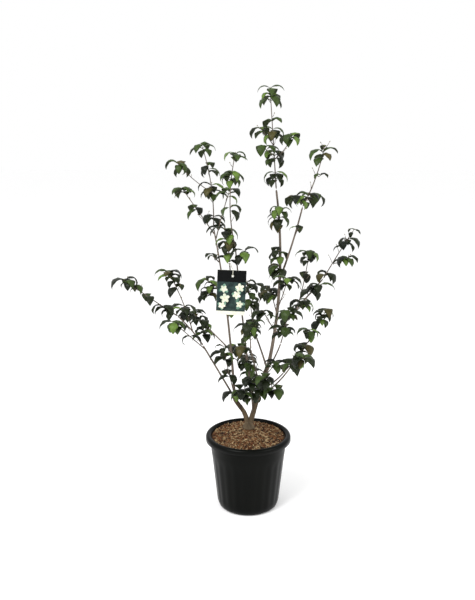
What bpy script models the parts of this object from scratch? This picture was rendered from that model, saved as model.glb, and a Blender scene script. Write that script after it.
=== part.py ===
"""A young dogwood with several stems, grown in a black nursery pot.

The plant stands in its own frame: the origin is the middle of the pot's flat underside, +Z is up
and the side it is usually seen from faces -Y. All sizes are metres.
"""

import math
import random

import bmesh
import bpy
from mathutils import Vector
from mathutils.bvhtree import BVHTree

NAME = "dogwood"
GAP = 0.0003

POT_HEIGHT = 0.268
POT_WALL = 0.0025
POT_FLOOR = 0.003
POT_STEPS = 32
FOOT_FLAT_RADIUS = 0.095
RIM_RADIUS = 0.150
RIM_LIP_HEIGHT = 0.248
RIM_BEND_HEIGHT = 0.258
# The wall's outer radius at each height: a rounded foot, a slight taper and a wider band under the rim.
WALL_RADII = ((0.006, 0.1040), (0.020, 0.1095), (0.100, 0.1182), (0.170, 0.1258), (0.212, 0.1312))
NECK_RADIUS = 0.1325

ROOT_BALL_TOP = 0.236
MULCH_EDGE_TOP = 0.256
GROUND = 0.272
MULCH_MOUND_RADIUS = 0.062
TRUNK_X, TRUNK_Y = 0.002, 0.035

# The root crown's radii from the flat cut at ground level to where the two legs part.
CROWN_HEIGHTS = (0.0, 0.006, 0.014, 0.030)
CROWN_RADII = (0.024, 0.019, 0.0155, 0.012)
LEFT_LEG = ((0.000, 0.035, 0.290), (-0.015, 0.032, 0.335), (-0.045, 0.014, 0.388), (-0.050, 0.017, 0.420))
LEFT_LEG_RADII = (0.0100, 0.0080, 0.0080, 0.0070)
RIGHT_LEG = ((0.005, 0.035, 0.290), (0.016, 0.033, 0.325), (0.050, 0.018, 0.460), (0.070, 0.010, 0.520))
RIGHT_LEG_RADII = (0.0105, 0.0085, 0.0080, 0.0075)

# Each limb: its name, what it grows from, how far along that, its tip, its bow and its two radii.
# The bow is how far the middle swings outwards and down, off the straight line from foot to tip.
LIMBS = (
    ("left_bough", "left_leg", 0.66, (-0.155, -0.040, 0.605), 0.000, 0.0036, 0.0028),
    ("left_outer_bough", "left_bough", 1.00, (-0.235, -0.070, 0.715), -0.004, 0.0028, 0.0020),
    ("left_stem", "left_leg", 1.00, (-0.120, 0.090, 0.985), -0.012, 0.0046, 0.0022),
    ("back_left_bough", "left_stem", 0.25, (-0.145, 0.160, 0.610), 0.000, 0.0026, 0.0020),
    ("centre_stem", "right_leg", 0.22, (-0.045, -0.030, 0.940), 0.003, 0.0040, 0.0021),
    ("middle_stem", "left_stem", 0.45, (-0.065, -0.030, 0.888), -0.008, 0.0026, 0.0020),
    ("front_stem", "right_leg", 0.60, (0.005, -0.150, 0.625), -0.010, 0.0034, 0.0022),
    ("inner_bough", "right_leg", 0.93, (0.022, 0.130, 0.605), 0.008, 0.0036, 0.0026),
    ("leader", "right_leg", 1.00, (0.090, 0.020, 1.125), 0.026, 0.0062, 0.0032),
    ("right_stem", "leader", 0.50, (0.170, -0.080, 1.080), 0.004, 0.0036, 0.0024),
    ("right_bough", "leader", 0.17, (0.260, 0.080, 0.810), -0.002, 0.0040, 0.0022),
    ("right_low_bough", "right_leg", 0.56, (0.115, -0.120, 0.535), 0.005, 0.0032, 0.0022),
    ("right_back_bough", "right_leg", 0.44, (0.180, 0.130, 0.515), 0.020, 0.0032, 0.0022),
    ("mid_right_bough", "right_leg", 0.88, (0.105, -0.100, 0.630), 0.004, 0.0030, 0.0022),
)

# Each foliage mass: its name, its carrier and how far along that, its stem's tip and bow, its
# rosettes (how far along the stem, how many leaves) and its side twigs (where each leaves the
# stem, its tip, its leaves).
MASSES = (
    ("left_outer", "left_outer_bough", 1.00, (-0.400, -0.120, 0.849), 0.002, ((0.20, 6), (0.55, 2), (1.0, 7)), ()),
    ("left_upper", "left_outer_bough", 0.45, (-0.280, 0.100, 0.829), -0.008, ((0.30, 5), (0.72, 2), (1.0, 6)), ()),
    ("left_low", "left_bough", 0.93, (-0.240, -0.210, 0.734), 0.000, ((0.50, 2), (1.0, 7)), ()),
    ("back_left", "back_left_bough", 1.00, (-0.210, 0.250, 0.643), -0.005, ((0.35, 6), (1.0, 4)),
     ((0.15, (-0.160, 0.200, 0.570), 4),)),
    ("left_stem_top", "left_stem", 1.00, (-0.160, 0.140, 1.263), -0.017,
     ((0.10, 4), (0.45, 7), (0.70, 4), (1.0, 5)), ((0.42, (-0.235, 0.020, 1.210), 6),)),
    ("upper_left", "left_stem", 0.96, (-0.235, 0.240, 1.104), 0.000, ((0.55, 3), (1.0, 6)), ()),
    ("upper_left_inner", "left_stem", 0.93, (-0.065, 0.030, 1.118), 0.002, ((0.25, 2), (1.0, 5)), ()),
    ("left_stem_spur", "left_stem", 0.79, (-0.130, 0.050, 0.903), 0.000, ((1.0, 3),), ()),
    ("label_left", "left_stem", 0.62, (-0.145, 0.020, 0.819), 0.000, ((1.0, 6),), ((0.55, (-0.145, 0.060, 0.750), 6),)),
    ("under_label", "middle_stem", 0.14, (-0.055, -0.010, 0.739), 0.000, ((1.0, 6),), ()),
    ("left_stem_low", "left_stem", 0.19, (-0.055, 0.075, 0.568), 0.000, ((1.0, 5),), ()),
    ("low_left", "left_leg", 0.84, (-0.085, -0.140, 0.633), 0.002, ((0.10, 2), (0.45, 3), (0.80, 5), (1.0, 3)), ()),
    ("middle", "middle_stem", 1.00, (-0.080, -0.040, 1.003), -0.004, ((0.12, 4), (0.50, 7), (1.0, 4)), ()),
    ("centre_top", "centre_stem", 1.00, (-0.045, -0.080, 1.248), 0.030,
     ((0.15, 2), (0.42, 4), (0.75, 8), (1.0, 5)), ()),
    ("centre_upper", "centre_stem", 0.91, (-0.015, -0.065, 0.933), 0.000, ((1.0, 4),), ()),
    ("centre_low", "centre_stem", 0.25, (-0.020, -0.095, 0.619), 0.000, ((0.35, 4), (1.0, 6)), ()),
    ("front", "front_stem", 1.00, (0.000, -0.220, 0.729), -0.008, ((0.45, 3), (1.0, 6)), ()),
    ("inner", "inner_bough", 1.00, (0.000, 0.260, 0.759), 0.020, ((0.10, 7), (0.60, 4), (1.0, 6)),
     ((0.25, (0.060, 0.285, 0.730), 6),)),
    ("leader_left", "leader", 0.20, (0.045, -0.140, 0.749), 0.000, ((1.0, 6),), ()),
    ("leader_inner", "leader", 0.30, (0.075, 0.070, 0.778), 0.000, ((1.0, 5),), ()),
    ("leader_right", "leader", 0.33, (0.120, -0.160, 0.859), 0.002, ((1.0, 7),), ()),
    ("leader_low", "leader", 0.46, (0.100, -0.015, 0.924), 0.000, ((0.40, 5), (1.0, 6)), ()),
    ("leader_mid", "leader", 0.76, (0.100, -0.015, 1.068), 0.000, ((0.45, 6), (1.0, 4)), ()),
    ("leader_top", "leader", 1.00, (0.067, 0.030, 1.448), 0.000,
     ((0.12, 6), (0.32, 7), (0.55, 6), (0.68, 2), (0.88, 4), (1.0, 5)),
     ((0.30, (0.135, -0.040, 1.300), 5), (0.44, (0.042, 0.055, 1.318), 4), (0.34, (0.040, -0.020, 1.268), 4))),
    ("right_top", "right_stem", 1.00, (0.230, -0.130, 1.273), 0.008, ((0.12, 6), (0.85, 5), (1.0, 3)),
     ((0.05, (0.145, -0.120, 1.115), 5), (0.12, (0.215, -0.030, 1.110), 6), (0.55, (0.222, -0.105, 1.182), 2))),
    ("right_stem_spur", "right_stem", 0.62, (0.160, -0.090, 1.018), 0.000, ((1.0, 3),), ()),
    ("right_outer", "right_bough", 1.00, (0.370, 0.140, 0.973), -0.002, ((0.05, 5), (0.72, 7), (1.0, 3)),
     ((0.30, (0.340, 0.055, 0.890), 4),)),
    ("right_mid", "right_bough", 0.70, (0.235, -0.040, 0.814), 0.000, ((0.35, 3), (1.0, 7)), ()),
    ("right_thin", "right_bough", 0.48, (0.225, 0.240, 0.879), 0.005, ((0.12, 3), (0.60, 2), (1.0, 7)), ()),
    ("right_crook", "right_bough", 0.30, (0.185, -0.060, 0.758), 0.000, ((1.0, 4),), ()),
    ("mid_right", "mid_right_bough", 1.00, (0.120, -0.240, 0.779), 0.002, ((0.40, 6), (1.0, 8)), ()),
    ("fork_spur", "right_leg", 0.78, (0.095, -0.065, 0.553), 0.000, ((1.0, 5),), ()),
    ("right_low", "right_low_bough", 1.00, (0.165, -0.300, 0.644), -0.007, ((0.35, 6), (1.0, 7)), ()),
    ("right_back", "right_back_bough", 1.00, (0.290, 0.240, 0.654), 0.010, ((0.15, 6), (0.75, 3), (1.0, 8)),
     ((0.30, (0.215, 0.080, 0.625), 6),)),
    ("low_back", "right_leg", 0.30, (0.000, 0.220, 0.484), 0.000, ((0.60, 5), (1.0, 7)), ()),
    ("low_front_left", "right_leg", 0.16, (0.005, -0.130, 0.519), 0.000, ((0.50, 5), (1.0, 7)),
     ((0.45, (-0.030, -0.095, 0.465), 5),)),
    ("low_front_right", "right_leg", 0.36, (0.050, -0.180, 0.539), 0.000, ((0.45, 5), (1.0, 8)),
     ((0.50, (0.095, -0.120, 0.480), 6),)),
)
STEM_RADII = (0.0020, 0.0013)
TWIG_RADII = (0.0014, 0.0011)
STEM_SPACING = 0.035
LIMB_SPACING = 0.055

LEAF_LENGTH = 0.068
LEAF_WIDTH = 0.033
LEAF_RIDGE = 0.0040
# How far along a leaf each of its two sections lies, and its share of the full width.
LEAF_SECTIONS = ((0.34, 1.0), (0.70, 0.82))
# A tip with this few leaves is new growth, whose leaves are smaller.
YOUNG_COUNT = 3
YOUNG_SIZE = 0.65
PAIR_SPACING = 0.011
ROOT_DEPTH = 0.001
MASS_REACH = 0.085
LEAF_CLEARANCE = 0.0010
LEAF_TRIES = 6
LEAF_TURN = math.radians(25)
BLADE_START = 0.35

CARD_SIZE = (0.096, 0.0010, 0.152)
CARD_CENTRE = (-0.059, -0.058, 0.793)
CARD_TURN = math.radians(2.5)
CARD_HOLE_DROP = 0.020
CARD_HOLE_RADIUS = 0.0030
CARD_HOLE_X = 0.003
TIE_RADIUS = 0.0008
TIE_AT = 0.985

COLOURS = {
    "nursery_pot": ((0.012, 0.013, 0.012), 0.35),
    "potting_mix": ((0.040, 0.026, 0.015), 0.95),
    "bark_mulch": ((0.150, 0.085, 0.045), 0.95),
    "old_bark": ((0.150, 0.105, 0.070), 0.85),
    "young_bark": ((0.190, 0.160, 0.145), 0.75),
    "dogwood_leaf": ((0.030, 0.070, 0.022), 0.55),
    "label_card": ((0.420, 0.470, 0.430), 0.45),
    "label_tie": ((0.600, 0.600, 0.520), 0.50),
}


def clear_scene():
    for item in list(bpy.data.objects):
        bpy.data.objects.remove(item)


def new_collection(name):
    made = bpy.data.collections.new(name)
    bpy.context.scene.collection.children.link(made)
    return made


def material(name):
    """A Principled material with the finish's colour and roughness, made once."""
    found = bpy.data.materials.get(name)
    if found:
        return found
    colour, roughness = COLOURS[name]
    made = bpy.data.materials.new(name)
    made.use_nodes = True
    shader = made.node_tree.nodes["Principled BSDF"]
    shader.inputs["Base Color"].default_value = (*colour, 1.0)
    shader.inputs["Roughness"].default_value = roughness
    shader.inputs["Metallic"].default_value = 0.0
    return made


def add_object(name, data, collection):
    made = bpy.data.objects.new(name, data)
    collection.objects.link(made)
    return made


def hide_as_helper(item):
    item.hide_render = True
    item.display_type = "WIRE"


def mesh_of(item, weld=0.0):
    """The evaluated object as a new mesh, with its loose caps welded on if asked."""
    graph = bpy.context.evaluated_depsgraph_get()
    mesh = bpy.data.meshes.new_from_object(item.evaluated_get(graph))
    if weld:
        work = bmesh.new()
        work.from_mesh(mesh)
        bmesh.ops.remove_doubles(work, verts=work.verts, dist=weld)
        bmesh.ops.recalc_face_normals(work, faces=work.faces)
        work.to_mesh(mesh)
        work.free()
    return mesh


def outward_and_down(foot, tip):
    """The direction square to the line from foot to tip that points away from the axis and down."""
    along = (tip - foot).normalized()
    middle = (foot + tip) / 2
    side = Vector((middle.x, middle.y, 0.0))
    side = side.normalized() if side.length > 1e-6 else Vector((1.0, 0.0, 0.0))
    side.z = -1.0
    return (side - side.dot(along) * along).normalized()


def bowed_path(foot, tip, bow, spacing):
    """Points along a parabola from foot to tip, whose middle swings out by the bow."""
    handle = (foot + tip) / 2 + 2 * bow * outward_and_down(foot, tip)
    count = max(3, math.ceil((tip - foot).length / spacing) + 1)
    path = []
    for i in range(count):
        t = i / (count - 1)
        path.append((1 - t) ** 2 * foot + 2 * t * (1 - t) * handle + t**2 * tip)
    return path


def tapered(first, last, count):
    return [first + (last - first) * i / (count - 1) for i in range(count)]


def lengths_along(path):
    total = [0.0]
    for a, b in zip(path, path[1:]):
        total.append(total[-1] + (b - a).length)
    return total


def point_along(path, share):
    """The point that lies this share of the path's length from its foot, and the way it heads."""
    total = lengths_along(path)
    wanted = share * total[-1]
    for i in range(len(path) - 1):
        if wanted <= total[i + 1] or i == len(path) - 2:
            step = path[i + 1] - path[i]
            t = (wanted - total[i]) / (total[i + 1] - total[i])
            return path[i] + t * step, step.normalized()


def tube(name, path, radii, collection, resolution=1, profile=None, closed=False):
    """A tube along the path with a radius at each point, as a mesh object with closed ends."""
    curve = bpy.data.curves.new(name, "CURVE")
    curve.dimensions = "3D"
    curve.use_fill_caps = not closed
    spline = curve.splines.new("POLY")
    spline.points.add(len(path) - 1)
    spline.use_cyclic_u = closed
    if profile:
        curve.bevel_mode = "OBJECT"
        curve.bevel_object = profile
        base = 1.0
    else:
        base = radii[0]
        curve.bevel_depth = base
        curve.bevel_resolution = resolution
    for point, place, radius in zip(spline.points, path, radii):
        point.co = (*place, 1.0)
        point.radius = radius / base
    drawn = add_object(name + "_line", curve, collection)
    made = add_object(name, mesh_of(drawn, weld=1e-6), collection)
    made.matrix_world = drawn.matrix_world
    bpy.data.objects.remove(drawn)
    return made


def triangle_profile(collection):
    """A three-sided outline of radius one, which twigs are drawn with."""
    curve = bpy.data.curves.new("twig_outline", "CURVE")
    spline = curve.splines.new("POLY")
    spline.points.add(2)
    spline.use_cyclic_u = True
    for i, point in enumerate(spline.points):
        angle = -2 * math.pi * i / 3
        point.co = (math.cos(angle), math.sin(angle), 0.0, 1.0)
    made = add_object("twig_outline", curve, collection)
    hide_as_helper(made)
    return made


def add_boolean(item, operation, other=None, group=None):
    made = item.modifiers.new(operation.lower(), "BOOLEAN")
    made.operation = operation
    made.solver = "EXACT"
    if group:
        made.operand_type = "COLLECTION"
        made.collection = group
    else:
        made.object = other
    return made


def keep_largest_shell(mesh):
    """Drops every loose scrap and the wall of every sealed hollow, which fills it."""
    work = bmesh.new()
    work.from_mesh(mesh)
    waiting = set(work.verts)
    shells = []
    while waiting:
        front = [waiting.pop()]
        shell = set(front)
        while front:
            for edge in front.pop().link_edges:
                for corner in edge.verts:
                    if corner not in shell:
                        shell.add(corner)
                        front.append(corner)
        waiting -= shell
        shells.append(shell)
    shells.sort(key=len)
    for shell in shells[:-1]:
        bmesh.ops.delete(work, geom=list(shell), context="VERTS")
    work.to_mesh(mesh)
    work.free()
    return mesh


def fuse(name, pieces, collection, cutter=None):
    """Joins closed meshes into one solid by a Boolean union on a collection, then cuts its foot clear."""
    group = new_collection(name + "_pieces")
    first, *rest = pieces
    for piece in rest:
        for home in list(piece.users_collection):
            home.objects.unlink(piece)
        group.objects.link(piece)
    if rest:
        add_boolean(first, "UNION", group=group)
    if cutter:
        add_boolean(first, "DIFFERENCE", cutter)
    made = add_object(name, keep_largest_shell(mesh_of(first)), collection)
    for piece in pieces:
        bpy.data.objects.remove(piece)
    bpy.data.collections.remove(group)
    return made


def finish(item, finish_name, smooth_angle=None):
    item.data.materials.clear()
    item.data.materials.append(material(finish_name))
    if smooth_angle:
        item.data.shade_smooth()
        item.data.set_sharp_from_angle(angle=smooth_angle)
    return item


def turned(name, profile, collection, finish_name):
    """A solid turned round Z from a profile that runs down its outer side."""
    mesh = bpy.data.meshes.new(name)
    edges = [(i, i + 1) for i in range(len(profile) - 1)]
    mesh.from_pydata([(radius, 0.0, height) for radius, height in profile], edges, [])
    made = add_object(name, mesh, collection)
    screw = made.modifiers.new("turn", "SCREW")
    screw.axis = "Z"
    screw.steps = POT_STEPS
    screw.render_steps = POT_STEPS
    screw.use_merge_vertices = True
    screw.merge_threshold = 0.00001
    screw.use_smooth_shade = False
    mesh.materials.append(material(finish_name))
    return made


def arc(centre, radii, first, last, count):
    """Points on an ellipse about centre, from the first angle to the last, in degrees."""
    points = []
    for i in range(count):
        angle = math.radians(first + (last - first) * i / (count - 1))
        points.append((centre[0] + radii[0] * math.cos(angle), centre[1] + radii[1] * math.sin(angle)))
    return points


def inner_radius(height):
    """The inside radius of the pot's wall at a height."""
    wall = (*WALL_RADII, (RIM_BEND_HEIGHT, NECK_RADIUS))
    for (low, low_radius), (high, high_radius) in zip(wall, wall[1:]):
        if height <= high:
            t = (height - low) / (high - low)
            return low_radius + t * (high_radius - low_radius) - POT_WALL


def pot(collection):
    """The pot: a thin tapered wall with a rounded foot and a rim that rolls out and down to a lip."""
    neck_inside = NECK_RADIUS - POT_WALL
    crest_centre = ((neck_inside + RIM_RADIUS) / 2, RIM_BEND_HEIGHT)
    crest_outer = ((RIM_RADIUS - neck_inside) / 2, POT_HEIGHT - RIM_BEND_HEIGHT)
    crest_inner = (crest_outer[0] - POT_WALL, crest_outer[1] - POT_WALL)
    inside = [(0.0, POT_FLOOR), (WALL_RADII[0][1] - 2 * POT_WALL, POT_FLOOR)]
    inside += [(radius - POT_WALL, height) for height, radius in WALL_RADII[1:]]
    over = arc(crest_centre, crest_outer, 180, 0, 7)
    lip = [(RIM_RADIUS, RIM_LIP_HEIGHT), (RIM_RADIUS - POT_WALL, RIM_LIP_HEIGHT)]
    under = arc(crest_centre, crest_inner, 0, 180, 4)
    outside = [(radius, height) for height, radius in reversed(WALL_RADII)]
    foot = [(FOOT_FLAT_RADIUS, 0.0), (0.0, 0.0)]
    return turned("pot", inside + over + lip + under + outside + foot, collection, "nursery_pot")


def root_ball(collection):
    """The potting mix that fills the pot, clear of its wall and floor."""
    low = POT_FLOOR + GAP
    heights = [height for height, _ in WALL_RADII[1:]] + [ROOT_BALL_TOP]
    outside = [(inner_radius(height) - GAP, height) for height in reversed(heights)]
    foot_radius = WALL_RADII[0][1] - 2 * POT_WALL - GAP
    profile = [(0.0, ROOT_BALL_TOP)] + outside + [(foot_radius, low), (0.0, low)]
    return turned("root_ball", profile, collection, "potting_mix")


def mulch(collection):
    """The layer of bark chips: level at the rim and mounded to a flat top where the trunk stands."""
    edge = inner_radius(MULCH_EDGE_TOP) - GAP
    low = ROOT_BALL_TOP + GAP
    top = GROUND - GAP
    shoulder = (MULCH_MOUND_RADIUS + edge) / 2
    profile = [(0.0, top), (MULCH_MOUND_RADIUS, top), (shoulder, (top + MULCH_EDGE_TOP) / 2 - 0.002)]
    profile += [(edge, MULCH_EDGE_TOP), (inner_radius(low) - GAP, low), (0.0, low)]
    return turned("mulch", profile, collection, "bark_mulch")


def trunk(collection, paths):
    """The root crown, flared to a flat cut on the mulch, and the two legs that it forks into."""
    crown = [Vector((TRUNK_X, TRUNK_Y, GROUND + height)) for height in CROWN_HEIGHTS]
    pieces = [tube("root_crown", crown, CROWN_RADII, collection, resolution=2)]
    for name, points, radii in (("left_leg", LEFT_LEG, LEFT_LEG_RADII), ("right_leg", RIGHT_LEG, RIGHT_LEG_RADII)):
        path = [Vector(point) for point in points]
        paths[name] = (path, radii, 2)
        pieces.append(tube(name, path, radii, collection, resolution=2))
    return finish(fuse("trunk", pieces, collection), "old_bark", math.radians(50))


def sleeve(name, paths, cutters):
    """A carrier's own tube, wider and longer by the gap, which cuts the foot of what grows on it."""
    found = bpy.data.objects.get("around_" + name)
    if found:
        return found
    path, radii, resolution = paths[name]
    first = path[0] - (path[1] - path[0]).normalized() * GAP
    last = path[-1] + (path[-1] - path[-2]).normalized() * 1.2 * GAP
    longer = [first] + list(path[1:-1]) + [last]
    wider = [radius + 1.2 * GAP for radius in radii]
    made = tube("around_" + name, longer, wider, cutters, resolution=resolution)
    hide_as_helper(made)
    return made


def limb(row, paths, collection, cutters):
    """One tapering limb, its foot cut clear of what carries it."""
    name, carrier, share, tip, bow, first, last = row
    foot, _ = point_along(paths[carrier][0], share)
    path = bowed_path(foot, Vector(tip), bow, LIMB_SPACING)
    radii = tapered(first, last, len(path))
    paths[name] = (path, radii, 1)
    made = tube(name, path, radii, collection)
    add_boolean(made, "DIFFERENCE", sleeve(carrier, paths, cutters))
    return finish(made, "young_bark", math.radians(60))


def leaf_point(foot, heading, length, lift, curl, share):
    """A point on a leaf's midrib, which starts at the lift and bends down evenly by the curl."""
    turned_to = lift - curl * share
    out = length / curl * (math.sin(lift) - math.sin(turned_to))
    up = length / curl * (math.cos(turned_to) - math.cos(lift))
    normal_out, normal_up = -math.sin(turned_to), math.cos(turned_to)
    ahead = Vector((math.cos(heading), math.sin(heading), 0.0))
    normal = normal_out * ahead + Vector((0.0, 0.0, normal_up))
    return foot + out * ahead + Vector((0.0, 0.0, up)), normal


def leaf_solid(foot, leaf, extra=0.0):
    """The corners and faces of a leaf: its foot, two ridged sections (ridge, left, right) and its tip."""
    heading, length, lift, curl = leaf
    left = Vector((-math.sin(heading), math.cos(heading), 0.0))
    scale = length / LEAF_LENGTH
    corners = [foot]
    for share, breadth in LEAF_SECTIONS:
        ridge, normal = leaf_point(foot, heading, length, lift, curl, share)
        half = LEAF_WIDTH / 2 * breadth * scale + extra
        low = ridge - (LEAF_RIDGE * breadth + extra) * normal
        corners += [ridge + extra * normal, low + half * left, low - half * left]
    tip, _ = leaf_point(foot, heading, length, lift, curl, 1.0)
    corners.append(tip + extra * (tip - foot).normalized())
    faces = []
    for i in range(3):
        j = (i + 1) % 3
        faces += [(0, 1 + i, 1 + j), (1 + i, 4 + i, 4 + j), (1 + i, 4 + j, 1 + j), (4 + i, 7, 4 + j)]
    return corners, faces


def rosette(line, share, count, rng):
    """The leaves of a shoot's node: crossed pairs down the shoot, the upper ones smaller and more upright."""
    length = lengths_along(line)[-1]
    pairs = math.ceil(count / 2)
    top = min(share * length + PAIR_SPACING * (pairs - 1) / 2, length - ROOT_DEPTH)
    heading = rng.uniform(0, math.pi)
    leaves = []
    for k in range(count):
        pair = k // 2
        foot, _ = point_along(line, (top - PAIR_SPACING * pair) / length)
        turn = heading + math.pi * (k % 2) + math.pi / 2 * pair + math.radians(40) * (pair // 2)
        turn += math.radians(rng.uniform(-16, 16))
        leaf_length = LEAF_LENGTH * rng.uniform(0.84, 1.12) * (1 - 0.05 * pair)
        if share == 1 and count <= YOUNG_COUNT:
            leaf_length *= YOUNG_SIZE
        lift = math.radians(rng.uniform(32, 66) + 4 * pair)
        curl = math.radians(rng.uniform(130, 210))
        leaves.append((foot, (turn, leaf_length, lift, curl)))
    return leaves


def stay_near(corners, lines):
    """Whether every corner keeps within the mass's own space, round its stem and twigs."""
    for corner in corners:
        if min((corner - point).length for line in lines for point in line) > MASS_REACH:
            return False
    return True


def mass_lines(row, paths):
    """The stem and the side twigs of a mass, as paths."""
    _, carrier, share, tip, bow, _, twigs = row
    foot, _ = point_along(paths[carrier][0], share)
    stem = bowed_path(foot, Vector(tip), bow, STEM_SPACING)
    lines = [stem]
    for start, end, _ in twigs:
        twig_foot, _ = point_along(stem, start)
        lines.append(bowed_path(twig_foot, Vector(end), 0.006, STEM_SPACING))
    return lines


def touches(foot, leaf, obstacles):
    """Whether the leaf, at its own size or grown by up to the clearance, meets any of the search trees."""
    for share in (0.0, 0.5, 1.0):
        grown = BVHTree.FromPolygons(*leaf_solid(foot, leaf, share * LEAF_CLEARANCE))
        if any(grown.overlap(other) for other in obstacles):
            return True
    return False


def grow_leaves(row, lines, obstacles, rng):
    """The leaves of one mass. One that touches a limb, another mass or leaf is turned, then skipped."""
    *_, rosettes, twigs = row
    nodes = [(lines[0], share, count) for share, count in rosettes]
    nodes += [(line, 1.0, twig[2]) for line, twig in zip(lines[1:], twigs)]
    grown, blades = [], []
    for line, share, count in nodes:
        for place, leaf in rosette(line, share, count, rng):
            for turn in range(LEAF_TRIES):
                heading, *shape = leaf
                tried = (heading + LEAF_TURN * turn, *shape)
                corners, faces = leaf_solid(place, tried, LEAF_CLEARANCE)
                if not stay_near(corners, lines) or touches(place, tried, obstacles):
                    continue
                corners[0] = place.lerp(corners[1], BLADE_START)
                blade = BVHTree.FromPolygons(corners, faces)
                if not any(blade.overlap(other) for other in blades):
                    grown.append((place, tried))
                    blades.append(blade)
                    break
    return grown


def tree_of(shapes):
    """One search tree over several (corners, faces) shapes."""
    corners, faces = [], []
    for some_corners, some_faces in shapes:
        faces += [tuple(i + len(corners) for i in face) for face in some_faces]
        corners += some_corners
    return BVHTree.FromPolygons(corners, faces)


def shape_of(item):
    """An object's evaluated surface as (corners, faces), in world space."""
    mesh = mesh_of(item)
    corners = [item.matrix_world @ vertex.co for vertex in mesh.vertices]
    faces = [tuple(polygon.vertices) for polygon in mesh.polygons]
    return corners, faces


def foliage(rows, paths, solids, collection, cutters):
    """Every mass of foliage: stem, twigs and leaves fused into one solid, cut clear of its carrier."""
    outline = triangle_profile(cutters)
    limbs = tree_of([shape_of(item) for item in solids])
    lines = {row[0]: mass_lines(row, paths) for row in rows}
    wood = {}
    for name, own in lines.items():
        wood[name] = []
        for i, line in enumerate(own):
            radii = tapered(*(TWIG_RADII if i else STEM_RADII), len(line))
            wood[name].append(tube(f"{name}_twig_{i}", line, radii, collection, profile=outline))
    trees = {name: tree_of([shape_of(item) for item in pieces]) for name, pieces in wood.items()}
    leafy = []
    for seed, row in enumerate(rows):
        name, carrier = row[0], row[1]
        obstacles = [limbs] + [tree for other, tree in trees.items() if other != name] + leafy
        leaves = grow_leaves(row, lines[name], obstacles, random.Random(seed))
        leafy.append(tree_of([leaf_solid(place, leaf, LEAF_CLEARANCE) for place, leaf in leaves]))
        pieces = list(wood[name])
        for i, (place, leaf) in enumerate(leaves):
            mesh = bpy.data.meshes.new(f"{name}_leaf_{i}")
            corners, faces = leaf_solid(place, leaf)
            mesh.from_pydata(corners, [], faces)
            pieces.append(add_object(mesh.name, mesh, collection))
        made = fuse(name + "_foliage", pieces, collection, sleeve(carrier, paths, cutters))
        finish(made, "dogwood_leaf")


def label_card(collection, cutters):
    """The picture label, a thin stiff card with a punched hole near its top edge."""
    work = bmesh.new()
    bmesh.ops.create_cube(work, size=1.0)
    bmesh.ops.scale(work, vec=CARD_SIZE, verts=work.verts)
    mesh = bpy.data.meshes.new("label_card")
    work.to_mesh(mesh)
    work.free()
    made = add_object("label_card", mesh, collection)
    made.location = CARD_CENTRE
    made.rotation_euler = (0.0, CARD_TURN, 0.0)
    work = bmesh.new()
    bmesh.ops.create_cone(
        work, cap_ends=True, segments=16, radius1=CARD_HOLE_RADIUS, radius2=CARD_HOLE_RADIUS, depth=0.01
    )
    punch_mesh = bpy.data.meshes.new("card_punch")
    work.to_mesh(punch_mesh)
    work.free()
    punch = add_object("card_punch", punch_mesh, cutters)
    punch.rotation_euler = (math.radians(90), 0.0, 0.0)
    punch.location = card_hole()
    hide_as_helper(punch)
    add_boolean(made, "DIFFERENCE", punch)
    return finish(made, "label_card")


def on_card(x, up):
    """A point in the card's mid plane, from its centre line and its top edge."""
    drop = CARD_SIZE[2] / 2 + up
    cos, sin = math.cos(CARD_TURN), math.sin(CARD_TURN)
    return Vector((
        CARD_CENTRE[0] + x * cos + drop * sin,
        CARD_CENTRE[1],
        CARD_CENTRE[2] - x * sin + drop * cos,
    ))


def card_hole():
    return on_card(CARD_HOLE_X, -CARD_HOLE_DROP)


def smooth_ring(points, steps):
    """A closed smooth line through the points, by the Catmull-Rom rule."""
    ring = []
    count = len(points)
    for i in range(count):
        a, b, c, d = (points[(i + k) % count] for k in (-1, 0, 1, 2))
        for j in range(steps):
            t = j / steps
            ring.append(
                0.5 * (2 * b + (c - a) * t + (2 * a - 5 * b + 4 * c - d) * t**2 + (3 * b - a - 3 * c + d) * t**3)
            )
    return ring


def label_tie(paths, collection):
    """The loop that ties the card: round the middle stem, over the card's edge and through its hole."""
    path, radii, _ = paths["middle_stem"]
    stem, _ = point_along(path, TIE_AT)
    round_stem = radii[-1] + 2.4 * GAP + TIE_RADIUS
    hole = card_hole()
    edge = on_card(CARD_HOLE_X, 0.0)
    clear = CARD_SIZE[1] / 2 + TIE_RADIUS + 2 * GAP
    points = []
    for angle in (90, 150, 205):
        turn = math.radians(angle)
        points.append(stem + round_stem * Vector((math.cos(turn), math.sin(turn), 0.0)))
    points.append(edge + Vector((-0.0025, 0.010, 0.005)))
    points.append(edge + Vector((-0.0010, 0.0, clear + 0.0006)))
    points.append(edge + Vector((0.0, -clear - 0.0008, -0.004)))
    points.append(hole + Vector((0.0, -clear - 0.0008, 0.003)))
    points.append(hole + Vector((0.0, 0.0, -0.0006)))
    points.append(hole + Vector((0.0, clear + 0.0008, 0.003)))
    points.append(edge + Vector((0.0015, clear + 0.0030, -0.004)))
    for angle in (-25, 30):
        turn = math.radians(angle)
        points.append(stem + round_stem * Vector((math.cos(turn), math.sin(turn), 0.0)))
    ring = smooth_ring(points, 2)
    made = tube("label_tie", ring, [TIE_RADIUS] * len(ring), collection, resolution=0, closed=True)
    return finish(made, "label_tie", math.radians(60))


def main():
    clear_scene()
    bpy.context.scene.unit_settings.system = "METRIC"
    plant = new_collection(NAME)
    cutters = new_collection("cutters")
    paths = {}
    solids = [pot(plant), mulch(plant)]
    root_ball(plant)
    solids.append(trunk(plant, paths))
    for row in LIMBS:
        solids.append(limb(row, paths, plant, cutters))
    solids.append(label_card(plant, cutters))
    solids.append(label_tie(paths, plant))
    foliage(MASSES, paths, solids, plant, cutters)


main()
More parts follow.
